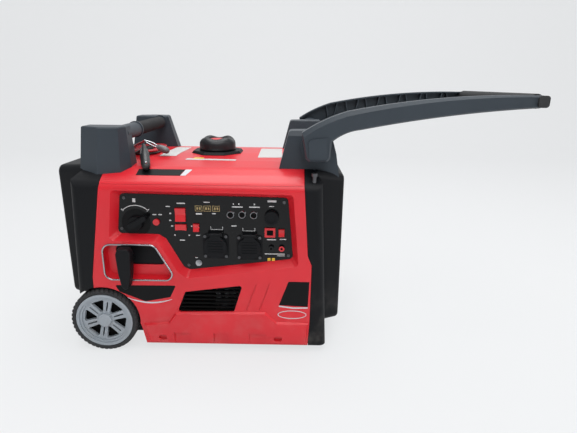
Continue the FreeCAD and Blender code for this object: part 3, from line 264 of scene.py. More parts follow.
def soft_rubber(name, rgb, roughness=0.72):
    """Matt rubber with a dull bloom and small pores."""
    finish = Finish(name, rgb, roughness, Specular_IOR_Level=0.35)
    bloom = finish.ramp(finish.noise(22.0, 5.0), 0.4, 0.75)
    finish.feed("Base Color", finish.mix(bloom * 0.5, rgb, lift(rgb, 0.022)))
    finish.feed("Roughness", bloom * 0.14 + (roughness - 0.06))
    finish.bump(finish.noise(1500.0, 2.0) + finish.cells(800.0) * 0.3, 0.25, 0.00025)
    return finish.material


def gloss_panel(name, rgb):
    """A gloss printed panel: nearly flat, with hair scratches and a trace of finger marks."""
    finish = Finish(name, rgb, 0.2, Coat_Weight=0.04, Coat_Roughness=0.08, Specular_IOR_Level=0.25)
    marks = finish.ramp(finish.noise(24.0, 5.0), 0.5, 0.8)
    hairs = finish.ramp(finish.noise(1.0, 4.0, 0.7, finish.stretched(90.0, 90.0, 700.0)), 0.6, 0.75)
    finish.feed("Base Color", finish.mix(marks * 0.35, rgb, lift(rgb, 0.006)))
    finish.feed("Roughness", marks * 0.12 + hairs * 0.08 + 0.12)
    finish.bump(finish.noise(120.0, 2.0), 0.05, 0.0002)
    return finish.material


def ink(name, rgb, roughness=0.4, **constants):
    """Screen-printed ink or a foil: an even tone with a little mottling."""
    finish = Finish(name, rgb, roughness, **constants)
    mottle = finish.noise(420.0, 3.0)
    finish.feed("Base Color", finish.mix(mottle, shade(rgb, 0.9), shade(rgb, 1.06)))
    finish.feed("Roughness", mottle * 0.12 + (roughness - 0.06))
    finish.bump(mottle, 0.08, 0.00008)
    return finish.material


def lead_skin(name, rgb):
    """The soft jacket of a battery lead, a little grubby."""
    finish = Finish(name, rgb, 0.42, Coat_Weight=0.12, Coat_Roughness=0.3)
    grub = finish.ramp(finish.noise(60.0, 4.0), 0.4, 0.8)
    finish.feed("Base Color", finish.mix(grub * 0.5, rgb, shade(rgb, 0.55)))
    finish.feed("Roughness", grub * 0.2 + 0.34)
    finish.bump(finish.noise(500.0, 2.0), 0.12, 0.0002)
    return finish.material


PALETTE = {}


def mix_palette():
    """Makes each finish once; pieces and nodes pick theirs by name."""
    hues, _, _ = settings()
    red, shell, charcoal = tuple(hues.red), tuple(hues.shell), tuple(hues.charcoal)
    PALETTE.update({
        "red_plastic": moulded("RedPanel", red, 0.36, 1500.0, 0.00010, Specular_IOR_Level=0.5),
        "black_plastic": moulded("BlackShell", shell, 0.50, 1250.0, 0.00022, Specular_IOR_Level=0.18),
        "dark_plastic": moulded("Charcoal", charcoal, 0.46, 1400.0, 0.00018, Specular_IOR_Level=0.34),
        "black_cap": moulded("CapBlack", (0.0095, 0.0105, 0.0125), 0.42, 1500.0, 0.00012, dust=0.0,
                             Specular_IOR_Level=0.4),
        "panel_black": gloss_panel("PanelGloss", tuple(hues.panel)),
        "rim_grey": moulded("RimGrey", tuple(hues.rim), 0.38, 1800.0, 0.00008, dust=0.05),
        "red_switch": moulded("SwitchRed", (0.52, 0.016, 0.022), 0.22, 2000.0, 0.00004, dust=0.0),
        "steel": brushed("ZincSteel", (0.46, 0.47, 0.49), 0.34, "Y"),
        "bright_trim": brushed("BrightTrim", (0.42, 0.43, 0.45), 0.22, "X"),
        "alloy": cast_metal("CastAlloy", (0.42, 0.43, 0.44)),
        "cast": cast_metal("CastIron", (0.16, 0.16, 0.17)),
        "tank_steel": moulded("TankPaint", (0.02, 0.02, 0.022), 0.3, 900.0, 0.0001),
        "rubber": soft_rubber("SoftRubber", (0.016, 0.0165, 0.018)),
        "tyre": soft_rubber("TyreRubber", (0.020, 0.0205, 0.022), 0.8),
        # near-black with almost no gloss: painted shade, put in holes and recesses and behind grilles and
        # spokes
        "painted_shade": ink("PaintedShadeBlack", (0.002, 0.002, 0.0022), 0.6, Specular_IOR_Level=0.08),
        "white": ink("PrintWhite", tuple(hues.print_white)),
        "amber": ink("PrintAmber", tuple(hues.amber)),
        "silver": ink("FoilSilver", tuple(hues.silver), 0.4),
        "decal_black": ink("DecalBlack", (0.0035, 0.0038, 0.0045), 0.4, Specular_IOR_Level=0.15),
        "blank_label": ink("BlankLabel", (0.50, 0.50, 0.49), 0.5),
        "lead_black": lead_skin("LeadBlack", (0.014, 0.014, 0.015)),
        "lead_red": lead_skin("LeadRed", tuple(hues.lead_red)),
        "yellow": ink("PrintYellow", (0.62, 0.42, 0.03)),
        "clip_grey": moulded("ClipGrey", (0.10, 0.10, 0.105), 0.34, 1500.0, 0.00008, dust=0.0),
    })


# ---------------------------------------------------------------- surfaces
def rides(piece, finish, body):
    piece.data.materials.append(PALETTE[finish])
    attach(piece, body)
    return piece


def mesh_piece(name, points, faces, smooth=True, crease=None):
    """Puts points and faces in a mesh object at the origin; the faces keep the turn they are given."""
    mesh = bpy.data.meshes.new(name)
    mesh.from_pydata(points.tolist(), [], [list(f) for f in faces])
    mesh.validate()
    piece = bpy.data.objects.new(name, mesh)
    bpy.context.scene.collection.objects.link(piece)
    mesh.polygons.foreach_set("use_smooth", np.full(len(mesh.polygons), smooth))
    if crease is not None:
        mesh.set_sharp_from_angle(angle=crease)
    return piece


def grid_faces(rows, columns, round_rows=False, round_columns=False, start=0):
    """Quads of a rows-by-columns grid of points, which may close on itself either way."""
    r = np.arange(rows if round_rows else rows - 1)
    c = np.arange(columns if round_columns else columns - 1)
    r0, c0 = np.meshgrid(r, c, indexing="ij")
    r1, c1 = (r0 + 1) % rows, (c0 + 1) % columns
    quads = np.stack([r0 * columns + c0, r0 * columns + c1, r1 * columns + c1, r1 * columns + c0], -1)
    return quads.reshape(-1, 4) + start


def outward(points, faces):
    """Turns the faces round if the closed surface they make holds a negative volume."""
    p = points[np.array([f[:3] for f in faces])]
    extra = [points[[f[0], *f[2:4]]] for f in faces if len(f) == 4]
    volume = np.einsum("ij,ij->", p[:, 0], np.cross(p[:, 1], p[:, 2]))
    if extra:
        q = np.array(extra)
        volume += np.einsum("ij,ij->", q[:, 0], np.cross(q[:, 1], q[:, 2]))
    return faces if volume > 0 else [tuple(reversed(f)) for f in faces]


def lathe(name, profile, centre, axis, count=96, ripple=None, crease=math.radians(35)):
    """A closed turned form: point = centre + axis*h + (cos a*u + sin a*v)*r, where (r, h) runs along
    the profile from pole to pole and ripple(a, h) may scale r."""
    axis = np.array(axis, float)
    u = np.cross(axis, (0.0, 0.0, 1.0) if abs(axis[2]) < 0.9 else (1.0, 0.0, 0.0))
    u /= np.linalg.norm(u)
    v = np.cross(axis, u)
    a = np.linspace(0.0, 2.0 * math.pi, count, endpoint=False)
    r, h = np.array(profile, float).T
    inner = slice(1, -1)
    reach = np.repeat(r[inner, None], count, 1)
    rise = np.repeat(h[inner, None], count, 1)
    if ripple is not None:
        reach, rise = ripple(a[None, :], reach, rise)
    ring = np.cos(a)[:, None] * u + np.sin(a)[:, None] * v
    points = centre + rise[..., None] * axis + reach[..., None] * ring[None]
    rows = len(r) - 2
    points = np.vstack([points.reshape(-1, 3), centre + h[0] * axis, centre + h[-1] * axis])
    faces = [tuple(f) for f in grid_faces(rows, count, False, True)]
    i = np.arange(count)
    j = (i + 1) % count
    faces += [(rows * count, y, x) for x, y in zip(i, j)]
    last = (rows - 1) * count
    faces += [(rows * count + 1, last + x, last + y) for x, y in zip(i, j)]
    return mesh_piece(name, points, outward(points - points.mean(0), faces), True, crease)


def smoothed(path, times=2, closed=False):
    """Corner cutting: each pass replaces a corner by points a quarter along both its runs."""
    p = np.array(path, float)
    for _ in range(times):
        nxt = np.roll(p, -1, 0) if closed else p[1:]
        cur = p if closed else p[:-1]
        cut = np.stack([0.75 * cur + 0.25 * nxt, 0.25 * cur + 0.75 * nxt], 1).reshape(-1, p.shape[1])
        p = cut if closed else np.vstack([p[:1], cut, p[-1:]])
    return p


def swept(name, path, sections, up, closed=False, crease=math.radians(40)):
    """A profile carried along a path: point = path(s) + side(s)*x + up*y for the section (x, y)
    at s, where side is the path's direction crossed with up. Open ends are closed by a flat cap."""
    path, up = np.array(path, float), np.array(up, float)
    if closed:
        along = np.roll(path, -1, 0) - np.roll(path, 1, 0)
    else:
        along = np.gradient(path, axis=0)
    along /= np.linalg.norm(along, axis=1)[:, None]
    side = np.cross(along, up)
    side /= np.linalg.norm(side, axis=1)[:, None]
    lift_ = np.cross(side, along)
    sections = np.broadcast_to(np.array(sections, float), (len(path),) + np.array(sections).shape[-2:])
    points = (path[:, None] + sections[..., :1] * side[:, None] + sections[..., 1:] * lift_[:, None])
    rows, columns = points.shape[:2]
    points = points.reshape(-1, 3)
    faces = [tuple(f) for f in grid_faces(rows, columns, closed, True)]
    if not closed:
        faces += [tuple(range(columns - 1, -1, -1)), tuple(range((rows - 1) * columns, rows * columns))]
    return mesh_piece(name, points, outward(points - points.mean(0), faces), True, crease)


def circle(count, r, squash=1.0, power=2.0):
    """Points of a superellipse: |x/r|^power + |y/(r*squash)|^power = 1."""
    a = np.linspace(0.0, 2.0 * math.pi, count, endpoint=False)
    c, s = np.cos(a), np.sin(a)
    k = (np.abs(c) ** power + np.abs(s) ** power) ** (-1.0 / power)
    return np.stack([c * k * r, s * k * r * squash], 1)


def rounded(points, radius, steps=6):
    """The outline with each corner replaced by an arc of about the radius."""
    points = np.array(points, float)
    out = []
    for i, p in enumerate(points):
        back, ahead = points[i - 1] - p, points[(i + 1) % len(points)] - p
        lb, la = np.linalg.norm(back), np.linalg.norm(ahead)
        back, ahead = back / lb, ahead / la
        half = math.acos(float(np.clip(back @ ahead, -1.0, 1.0))) / 2
        reach = min(radius / math.tan(half), 0.45 * lb, 0.45 * la)
        r = reach * math.tan(half)
        middle = (back + ahead) / np.linalg.norm(back + ahead)
        centre = p + middle * r / math.sin(half)
        first, last = p + back * reach - centre, p + ahead * reach - centre
        angle = math.acos(float(np.clip(first @ last / (r * r), -1.0, 1.0)))
        t = np.linspace(0.0, 1.0, steps)[:, None]
        out.append(centre + (np.sin((1 - t) * angle) * first + np.sin(t * angle) * last) / math.sin(angle))
    return np.vstack(out)


def plate(name, outline, lift_fn, thick, crease=math.radians(30)):
    """A thin plate: lift_fn places the flat outline in space, at the surface and thick above it, and
    the two faces are joined round the edge with a narrow bevel."""
    outline = np.array(outline, float)
    n = len(outline)
    centre = outline.mean(0)
    inset = centre + (outline - centre) * (1.0 - min(0.3, 0.5 * thick / np.abs(outline - centre).max()))
    layers = [lift_fn(outline, 0.0), lift_fn(outline, 0.7 * thick), lift_fn(inset, thick)]
    points = np.vstack(layers)
    faces = [tuple(f) for f in grid_faces(3, n, False, True)]
    faces += [tuple(range(n - 1, -1, -1)), tuple(range(2 * n, 3 * n))]
    return mesh_piece(name, points, outward(points - points.mean(0), faces), False)


def on_side(level):
    """Places an outline (x, z) on a plane of constant y, rising towards the viewer's side."""
    def lift_fn(outline, height):
        return np.stack([outline[:, 0], np.full(len(outline), level - height), outline[:, 1]], 1)
    return lift_fn


# ---------------------------------------------------------------- camera and studio
class GENERATOR_OT_camera(bpy.types.Operator):
    """Sets up the camera in front of the control side, a little above the machine"""
    bl_idname = "generator.camera"
    bl_label = "Camera"

    def execute(self, context):
        stage = settings()[2]
        data = bpy.data.cameras.new("FrontCamera")
        data.lens, data.sensor_width = stage.lens, 36.0
        data.clip_start, data.clip_end = 0.01, 50.0
        camera = bpy.data.objects.new("FrontCamera", data)
        context.scene.collection.objects.link(camera)
        turn = (Matrix.Rotation(stage.yaw, 4, "Z") @ Matrix.Rotation(math.pi / 2 - stage.pitch, 4, "X")
                @ Matrix.Rotation(stage.roll, 4, "Z"))
        camera.matrix_world = Matrix.Translation(stage.eye) @ turn
        context.scene.camera = camera
        return {"FINISHED"}


def seen_directly(tree):
    """1 for rays that show the backdrop to the camera, in gloss or through glass, else 0."""
    path = tree.nodes.new("ShaderNodeLightPath")
    sums = [path.outputs["Is Camera Ray"], path.outputs["Is Glossy Ray"], path.outputs["Is Transmission Ray"]]
    total = sums[0]
    for other in sums[1:]:
        node = tree.nodes.new("ShaderNodeMath")
        node.operation, node.use_clamp = "ADD", True
        tree.links.new(total, node.inputs[0])
        tree.links.new(other, node.inputs[1])
        total = node.outputs[0]
    return total


def backdrop_material(rgb):
    """The pale wall and floor: a plain matt paint that also glows a little to direct looks."""
    made = bpy.data.materials.new("Backdrop")
    made.use_nodes = True
    tree = made.node_tree
    shader = tree.nodes["Principled BSDF"]
    shader.inputs["Base Color"].default_value = (*rgb, 1.0)
    shader.inputs["Roughness"].default_value = 0.9
    shader.inputs["Specular IOR Level"].default_value = 0.1
    glow = tree.nodes.new("ShaderNodeEmission")
    glow.inputs["Color"].default_value = (*rgb, 1.0)
    glow.inputs["Strength"].default_value = 1.0
    mix = tree.nodes.new("ShaderNodeMixShader")
    share = tree.nodes.new("ShaderNodeMath")
    share.operation = "MULTIPLY"
    share.inputs[1].default_value = 0.82
    tree.links.new(seen_directly(tree), share.inputs[0])
    tree.links.new(share.outputs[0], mix.inputs[0])
    tree.links.new(shader.outputs[0], mix.inputs[1])
    tree.links.new(glow.outputs[0], mix.inputs[2])
    tree.links.new(mix.outputs[0], tree.nodes["Material Output"].inputs[0])
    return made


class GENERATOR_OT_stage(bpy.types.Operator):
    """Lays a pale floor that curves up into a wall, with soft lamps above"""
    bl_idname = "generator.stage"
    bl_label = "Stage"

    def execute(self, context):
        stage = settings()[2]
        # floor, a quarter circle of radius 1.2 m, then the wall
        a = np.linspace(0.0, math.pi / 2, 16)
        y = np.concatenate([[-6.0], 2.6 + 1.2 * np.sin(a), [3.8]])
        z = np.concatenate([[0.0], 1.2 - 1.2 * np.cos(a), [7.0]]) + FLOOR_Z
        x = np.array([-9.0, 9.0])
        points = np.stack([np.tile(x, len(y)), np.repeat(y, 2), np.repeat(z, 2)], 1)
        floor = mesh_piece("Backdrop", points, grid_faces(len(y), 2))
        floor.data.materials.append(backdrop_material(tuple(stage.backdrop)))
        lamps = [("KeyLamp", (0.3, -2.3, 2.6), (0.1, 0.0, 0.15), 2.2, 50.0),
                 ("TopLamp", (0.2, 0.3, 2.9), (0.1, 0.0, 0.2), 2.6, 76.0),
                 ("SideLamp", (2.6, -1.2, 1.3), (0.1, 0.0, 0.2), 1.4, 17.0),
                 ("FillLamp", (-2.6, -0.8, 1.2), (0.0, 0.0, 0.2), 1.6, 3.0)]
        for name, place, aim, size, power in lamps:
            data = bpy.data.lights.new(name, "AREA")
            data.shape, data.size, data.energy = "DISK", size, power
            lamp = bpy.data.objects.new(name, data)
            context.scene.collection.objects.link(lamp)
            lamp.location = place
            lamp.rotation_mode = "QUATERNION"
            lamp.rotation_quaternion = (Vector(aim) - Vector(place)).to_track_quat("-Z", "Y")
        world = bpy.data.worlds.new("Studio")
        context.scene.world = world
        world.use_nodes = True
        light = world.node_tree.nodes["Background"]
        light.inputs["Color"].default_value = (0.93, 0.96, 1.0, 1.0)
        light.inputs["Strength"].default_value = 0.38
        context.scene.view_settings.view_transform = "Standard"
        return {"FINISHED"}


# ---------------------------------------------------------------- places
def up(*mm):
    """Points drawn in millimetres above the floor, as metres in the frame."""
    p = np.array(mm if np.ndim(mm[0]) else [mm], float) * MM
    p[:, 2] += FLOOR_Z
    return p if np.ndim(mm[0]) else p[0]


def face_points(outline):
    """Outline points (x, height above the floor) in millimetres, as metres in the frame."""
    p = np.array(outline, float) * MM
    p[:, 1] += FLOOR_Z
    return p


SIDE_Y = -0.215
PANEL_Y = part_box("control_panel")[0].y
DIAL = (-131.0, 288.0)
ARCH = ((0.0, 406.0), (100.0, 404.0), (160.0, 399.0), (190.0, 388.0), (215.0, 373.0))


def stacked(name, parts, smooth=False, crease=None):
    """Several closed surfaces, each (points, faces), as one mesh."""
    points, faces, start = [], [], 0
    for p, f in parts:
        points.append(p)
        faces += [tuple(i + start for i in face) for face in outward(p - p.mean(0), [tuple(q) for q in f])]
        start += len(p)
    return mesh_piece(name, np.vstack(points), faces, smooth, crease)


def slab(outline, level, thick):
    """A flat print on a plane of constant y: its outline at the plane and again thick in front."""
    flat = face_points(outline)
    n = len(flat)
    lift_fn = on_side(level)
    points = np.vstack([lift_fn(flat, -0.0001), lift_fn(flat, thick)])
    faces = [tuple(f) for f in grid_faces(2, n, False, True)]
    return points, faces + [tuple(range(n - 1, -1, -1)), tuple(range(n, 2 * n))]


def bar(x, z, w, h, lean=0.0):
    """Corners of a small bar about (x, z), sheared by lean."""
    return [(x - w / 2 - lean, z - h / 2), (x + w / 2 - lean, z - h / 2), (x + w / 2 + lean, z + h / 2),
            (x - w / 2 + lean, z + h / 2)]


def rim_of(outline, stroke, level, thick):
    """A line of even width round an outline: the outline and the same one drawn in by the stroke,
    at the plane and again thick in front, joined into a closed band."""
    flat = face_points(outline)
    centre = flat.mean(0)
    half = np.abs(flat - centre).max(0)
    inner = centre + (flat - centre) * (1.0 - stroke * MM / half)
    lift_fn = on_side(level)
    rows = [lift_fn(flat, -0.0001), lift_fn(flat, thick), lift_fn(inner, thick), lift_fn(inner, -0.0001)]
    return np.vstack(rows), [tuple(f) for f in grid_faces(4, len(flat), True, True)]


def arc_band(centre, r, stroke, a0, a1, level, thick, count=40):
    """A curved line: radius r and r minus the stroke between two angles, as a closed band."""
    a = np.radians(np.linspace(a0, a1, count))
    line = np.stack([np.cos(a), np.sin(a)], 1)
    return slab(np.vstack([centre + line * r, (centre + line * (r - stroke))[::-1]]), level, thick)


def turned_ring(name, loop, centre, count, ripple=None, crease=math.radians(40)):
    """A closed band about the Y axis: point = centre + (r cos a, h, r sin a) for each (r, h) of the
    loop, where ripple(a, r, h) gives the radius again."""
    a = np.linspace(0.0, 2.0 * math.pi, count, endpoint=False)[None, :]
    r, h = (np.repeat(column[:, None], count, 1) for column in np.array(loop, float).T)
    if ripple is not None:
        r = ripple(a, r, h)
    points = np.stack([r * np.cos(a), h + 0.0 * a, r * np.sin(a)], -1).reshape(-1, 3)
    faces = [tuple(f) for f in grid_faces(len(loop), count, True, True)]
    # the band's volume, taken about the axis, tells which way its faces turn
    return mesh_piece(name, points + centre, outward(points, faces), True, crease)


# ---------------------------------------------------------------- battery lead
BLACK_RUN = ((-168, -60, 412), (-156, -65, 418), (-146, -78, 426), (-139, -92, 433), (-132, -108, 436))
RED_RUN = ((-187, -14, 420), (-176, -34, 426), (-163, -41, 432), (-150, -45, 438))
BLACK_CLIP_END = (-102, -194, 396)
RED_CLIP_END = (-90, -56, 414)
HANK = (-157.0, 10.0, 33.0)


def hank(turns, level):
    """Half circles of growing radius, 14.5 mm and 5.2 mm more each turn, round two centres that
    stand 66 mm apart, with seven points to each half circle."""
    x, y, half = HANK
    k = np.arange(int(turns * 14))
    a = np.radians((k % 7) * 30.0 + (k // 7 % 2) * 180.0)
    r = 14.5 + 5.2 * k / 14.0
    shift = np.where(k // 7 % 2 == 0, half, -half)
    return np.stack([x + r * np.cos(a), y + shift + r * np.sin(a), np.full(len(k), level)], 1)


def core(name, points, finish):
    """One core of the lead: a NURBS line through given points, with a round bevel."""
    data = bpy.data.curves.new(name, "CURVE")
    data.dimensions = "3D"
    data.bevel_depth = settings()[1].cord_d / 2
    data.bevel_resolution = 4
    data.resolution_u = 5
    data.use_fill_caps = True
    spline = data.splines.new("NURBS")
    place = up(*[tuple(p) for p in points])
    spline.points.add(len(place) - 1)
    spline.points.foreach_set("co", np.hstack([place, np.ones((len(place), 1))]).ravel())
    spline.order_u = 3
    spline.use_endpoint_u = True
    cord = bpy.data.objects.new(name, data)
    bpy.context.scene.collection.objects.link(cord)
    return rides(cord, finish, "case"), place


def handle(name, start, end, profile, finish, ripple=None, count=32):
    """A turned handle that lies between two points: (r, h) in millimetres along the line."""
    a, b = up(*start), up(*end)
    axis = (b - a) / np.linalg.norm(b - a)
    made = lathe(name, np.array(profile) * MM, a, axis, count, ripple)
    return rides(made, finish, "case")


class GENERATOR_OT_lead(bpy.types.Operator):
    """Winds the battery lead's two cores in a hank under the carrying bar, with plug and clips"""
    bl_idname = "generator.lead"
    bl_label = "Battery lead"

    def execute(self, context):
        _, sizes, _ = settings()
        x, y, half = HANK
        section = circle(28, 0.0088, 0.72, 3.2)
        path = up(*[(x, along, 413) for along in (-30, -29, -27, 6, 10, 12, 12.6)])
        swell = np.array([0.55, 0.85, 1.0, 1.0, 0.96, 0.8, 0.62])[:, None, None]
        plug = rides(swept("LeadPlug", path, section[None] * swell, (0, 0, 1)), "rubber", "case")

        def ribs(a, r, h):
            return r * (1.0 + 0.05 * np.cos(h * 2.0 * math.pi / 0.006)), h

        black_body = [(0, -3), (3.4, -3), (4.2, 0), (5.2, 10), (7.0, 19), (9.0, 30), (9.6, 43), (9.4, 56),
                      (9.0, 69), (8.6, 79), (7.4, 85), (4.6, 88), (0, 88.5)]
        profile = smoothed(black_body, 2)
        profile[0, 0] = profile[-1, 0] = 0.0
        black_clip = handle("LeadClipBlack", BLACK_RUN[-1], BLACK_CLIP_END, profile, "lead_black",
                            ribs)
        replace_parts(black_clip, "lead_clip_black")
        head = [(0, 0), (2.4, 0), (2.4, 4), (1.6, 5), (0, 5.2)]
        rivet = handle("LeadClipRivet", (-106, -180, 409.0), (-106, -183, 415), head, "bright_trim",
                       None, 20)
        grey_body = [(0, 30), (2.6, 30), (4.4, 33), (7.0, 38), (8.2, 46), (8.0, 54), (6.2, 60), (3.0, 63),
                     (0, 63.6)]
        profile = smoothed(grey_body, 2)
        profile[0, 0] = profile[-1, 0] = 0.0
        grey_clip = handle("LeadClipGrey", RED_RUN[-1], RED_CLIP_END, profile, "clip_grey")
        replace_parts(grey_clip, "lead_clip_red")
        arms = []
        for i, off in enumerate((-2.6, 2.6)):
            line = smoothed(up((-151, -45, 438 + off * 0.4), (-140, -46 + off, 434 + off),
                               (-126, -49 + off * 1.4, 428 + off), (-115, -51 + off, 424)), 2)
            jaw = swept("LeadClipJaw%d" % i, line, circle(14, 0.0017, 1.0), (0, 0, 1))
            arms.append(rides(jaw, "bright_trim", "case"))
        turns = sizes.coil_turns
        black = [(x, 11, 410.4), (x + 0.5, 20, 409.6), (x + 8, 32, 409.2), *hank(turns, 409.2),
                 (-191, 8, 409.2), (-191, -20, 409.3), (-184, -45, 409.8), *BLACK_RUN]
        red = [(x, 11, 415.2), (x + 0.5, 20, 414.6), (x + 8, 32, 414.3), *hank(turns, 414.3),
               (-190, 14, 414.8), *RED_RUN]
        for name, points, finish, clip in (("LeadCoreBlack", black, "lead_black", [black_clip, rivet]),
                                           ("LeadCoreRed", red, "lead_red", [grey_clip, *arms])):
            cord, place = core(name, points, finish)
            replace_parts(cord, "lead_coil", "lead_cord")
            tuple(place[0])
            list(clip)
        return {"FINISHED"}


# ---------------------------------------------------------------- running gear
class GENERATOR_OT_tyres(bpy.types.Operator):
    """Puts a tread of slanting blocks on both tyres"""
    bl_idname = "generator.tyres"
    bl_label = "Tyres"

    def execute(self, context):
        _, sizes, _ = settings()
        for node, body in (("tyre_near", "near_wheel"), ("tyre_far", "far_wheel")):
            low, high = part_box(node)
            centre = np.array([(low.x + high.x) / 2, 0.0, (low.z + high.z) / 2])
            outer, inner, middle = (high.x - low.x) / 2, 0.061, (low.y + high.y) / 2
            half = (high.y - low.y) / 2
            loop = rounded([(inner, low.y), (outer, low.y), (outer, high.y), (inner, high.y)], 0.0055, 6)
            crown = np.linspace(-half + 0.006, half - 0.006, 26)
            split = len(loop) // 2
            loop = np.vstack([loop[:split], np.stack([np.full(26, outer), middle + crown], 1), loop[split:]])

            def tread(a, r, h):
                """Blocks: a slanted wave of the angle, held to the outer band of the section."""
                wave = np.cos(sizes.tread_blocks * a + np.abs(h - middle) * 260.0)
                groove = 0.5 + 0.5 * np.tanh(7.0 * (wave - 0.55))
                belt = 0.5 + 0.5 * np.tanh((0.0012 - np.abs(np.abs(h - middle) - 0.0072)) * 3500.0)
                band = np.clip((r - outer + 0.0045) / 0.003, 0.0, 1.0)
                return r - sizes.tread_depth * np.maximum(groove, belt) * band

            made = turned_ring("Tyre" + node[5:].title(), loop, centre, sizes.tread_blocks * 8, tread)
            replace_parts(rides(made, "tyre", body), node)
            # painted shade: a thin near-black disc behind the spokes' windows, so that the windows read dark
            # and the floor does not show through them
            side = -1.0 if middle < 0 else 1.0
            centre[1] = side * 0.2035
            shade_section = [(0.0, 0.0), (0.054, 0.0), (0.054, 0.002), (0.0, 0.002)]
            shade_disc = lathe("WheelShadeDisc" + node[5:].title(), shade_section, centre, (0.0, 1.0, 0.0), 72)
            rides(shade_disc, "painted_shade", body)
        return {"FINISHED"}


# ---------------------------------------------------------------- filler, trims and grips
class GENERATOR_OT_filler(bpy.types.Operator):
    """Turns the wavy fuel cap with its red inlay"""
    bl_idname = "generator.filler"
    bl_label = "Fuel cap"

    def execute(self, context):
        _, sizes, _ = settings()
        low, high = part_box("fuel_cap")
        centre = np.array([(low.x + high.x) / 2, (low.y + high.y) / 2, low.z])
        outline = [(0, 0.4), (20, 0.4), (43, 0.4), (45, 2.2), (45.2, 9), (45, 17), (43.5, 23), (39, 28.4),
                   (33, 30.6), (27.5, 30), (24.5, 27.2), (23.5, 24.4), (12, 24), (0, 24)]
        profile = smoothed(outline, 2)
        profile[0, 0] = profile[-1, 0] = 0.0

        def waves(a, r, h):
            """The skirt's radius and the crest's height both follow the cosine of the lobes."""
            wave = np.cos(sizes.cap_lobes * (a + math.pi / 2) + math.pi)
            crest = np.clip((h - 0.016) / 0.012, 0.0, 1.0) * np.clip((r - 0.022) / 0.008, 0.0, 1.0)
            skirt = np.clip(h / 0.006, 0.0, 1.0) * np.clip((r - 0.036) / 0.006, 0.0, 1.0)
            return r * (1.0 + 0.022 * skirt * (wave - 1.0)), h + 0.0026 * crest * (wave - 0.6)

        made = lathe("FuelCap", profile * MM, centre, (0, 0, 1), 144, waves)
        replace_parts(rides(made, "black_cap", "cap"), "fuel_cap")
        dome = np.array([(0, 23.6), (22.5, 23.6), (22.9, 24.6), (21.5, 25.4), (9, 26.4), (0, 26.8)]) * MM
        inlay = lathe("FuelCapInlay", dome, centre, (0, 0, 1), 72)
        rides(inlay, "red_plastic", "cap")
        return {"FINISHED"}


class GENERATOR_OT_trims(bpy.types.Operator):
    """Bends the bright ring round the pull start and ribs the carrying grip"""
    bl_idname = "generator.trims"
    bl_label = "Trims and grips"

    def execute(self, context):
        _, sizes, _ = settings()
        outline = rounded([(-200, 246), (-92, 246), (-56, 181), (-65, 167), (-200, 167)], 17.0, 12)
        flat = face_points(outline)
        path = np.stack([flat[:, 0], np.full(len(flat), SIDE_Y - 0.0012), flat[:, 1]], 1)
        ring = swept("PullRing", path, circle(16, sizes.ring_r, 0.9), (0, -1, 0), closed=True)
        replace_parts(rides(ring, "bright_trim", "case"), "recoil_bezel")

        low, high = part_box("carry_grip")
        centre = np.array([(low.x + high.x) / 2, low.y, (low.z + high.z) / 2])
        span, r = high.y - low.y, (high.z - low.z) / 2
        h = np.linspace(0.0, span, sizes.grip_ribs * 8)
        body = r - 0.0009 + 0.0009 * np.tanh(2.5 * np.cos(h / span * 2.0 * math.pi * sizes.grip_ribs))
        ends = np.clip(np.minimum(h, span - h) / 0.004, 0.0, 1.0)
        body = body * (0.86 + 0.14 * np.sqrt(ends))
        profile = np.vstack([[(0.0, 0.0)], np.stack([body, h], 1), [(0.0, span)]])
        grip = lathe("CarryGrip", profile, centre, (0, 1, 0), 48, None, math.radians(60))
        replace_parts(rides(grip, "rubber", "case"), "carry_grip")
        return {"FINISHED"}


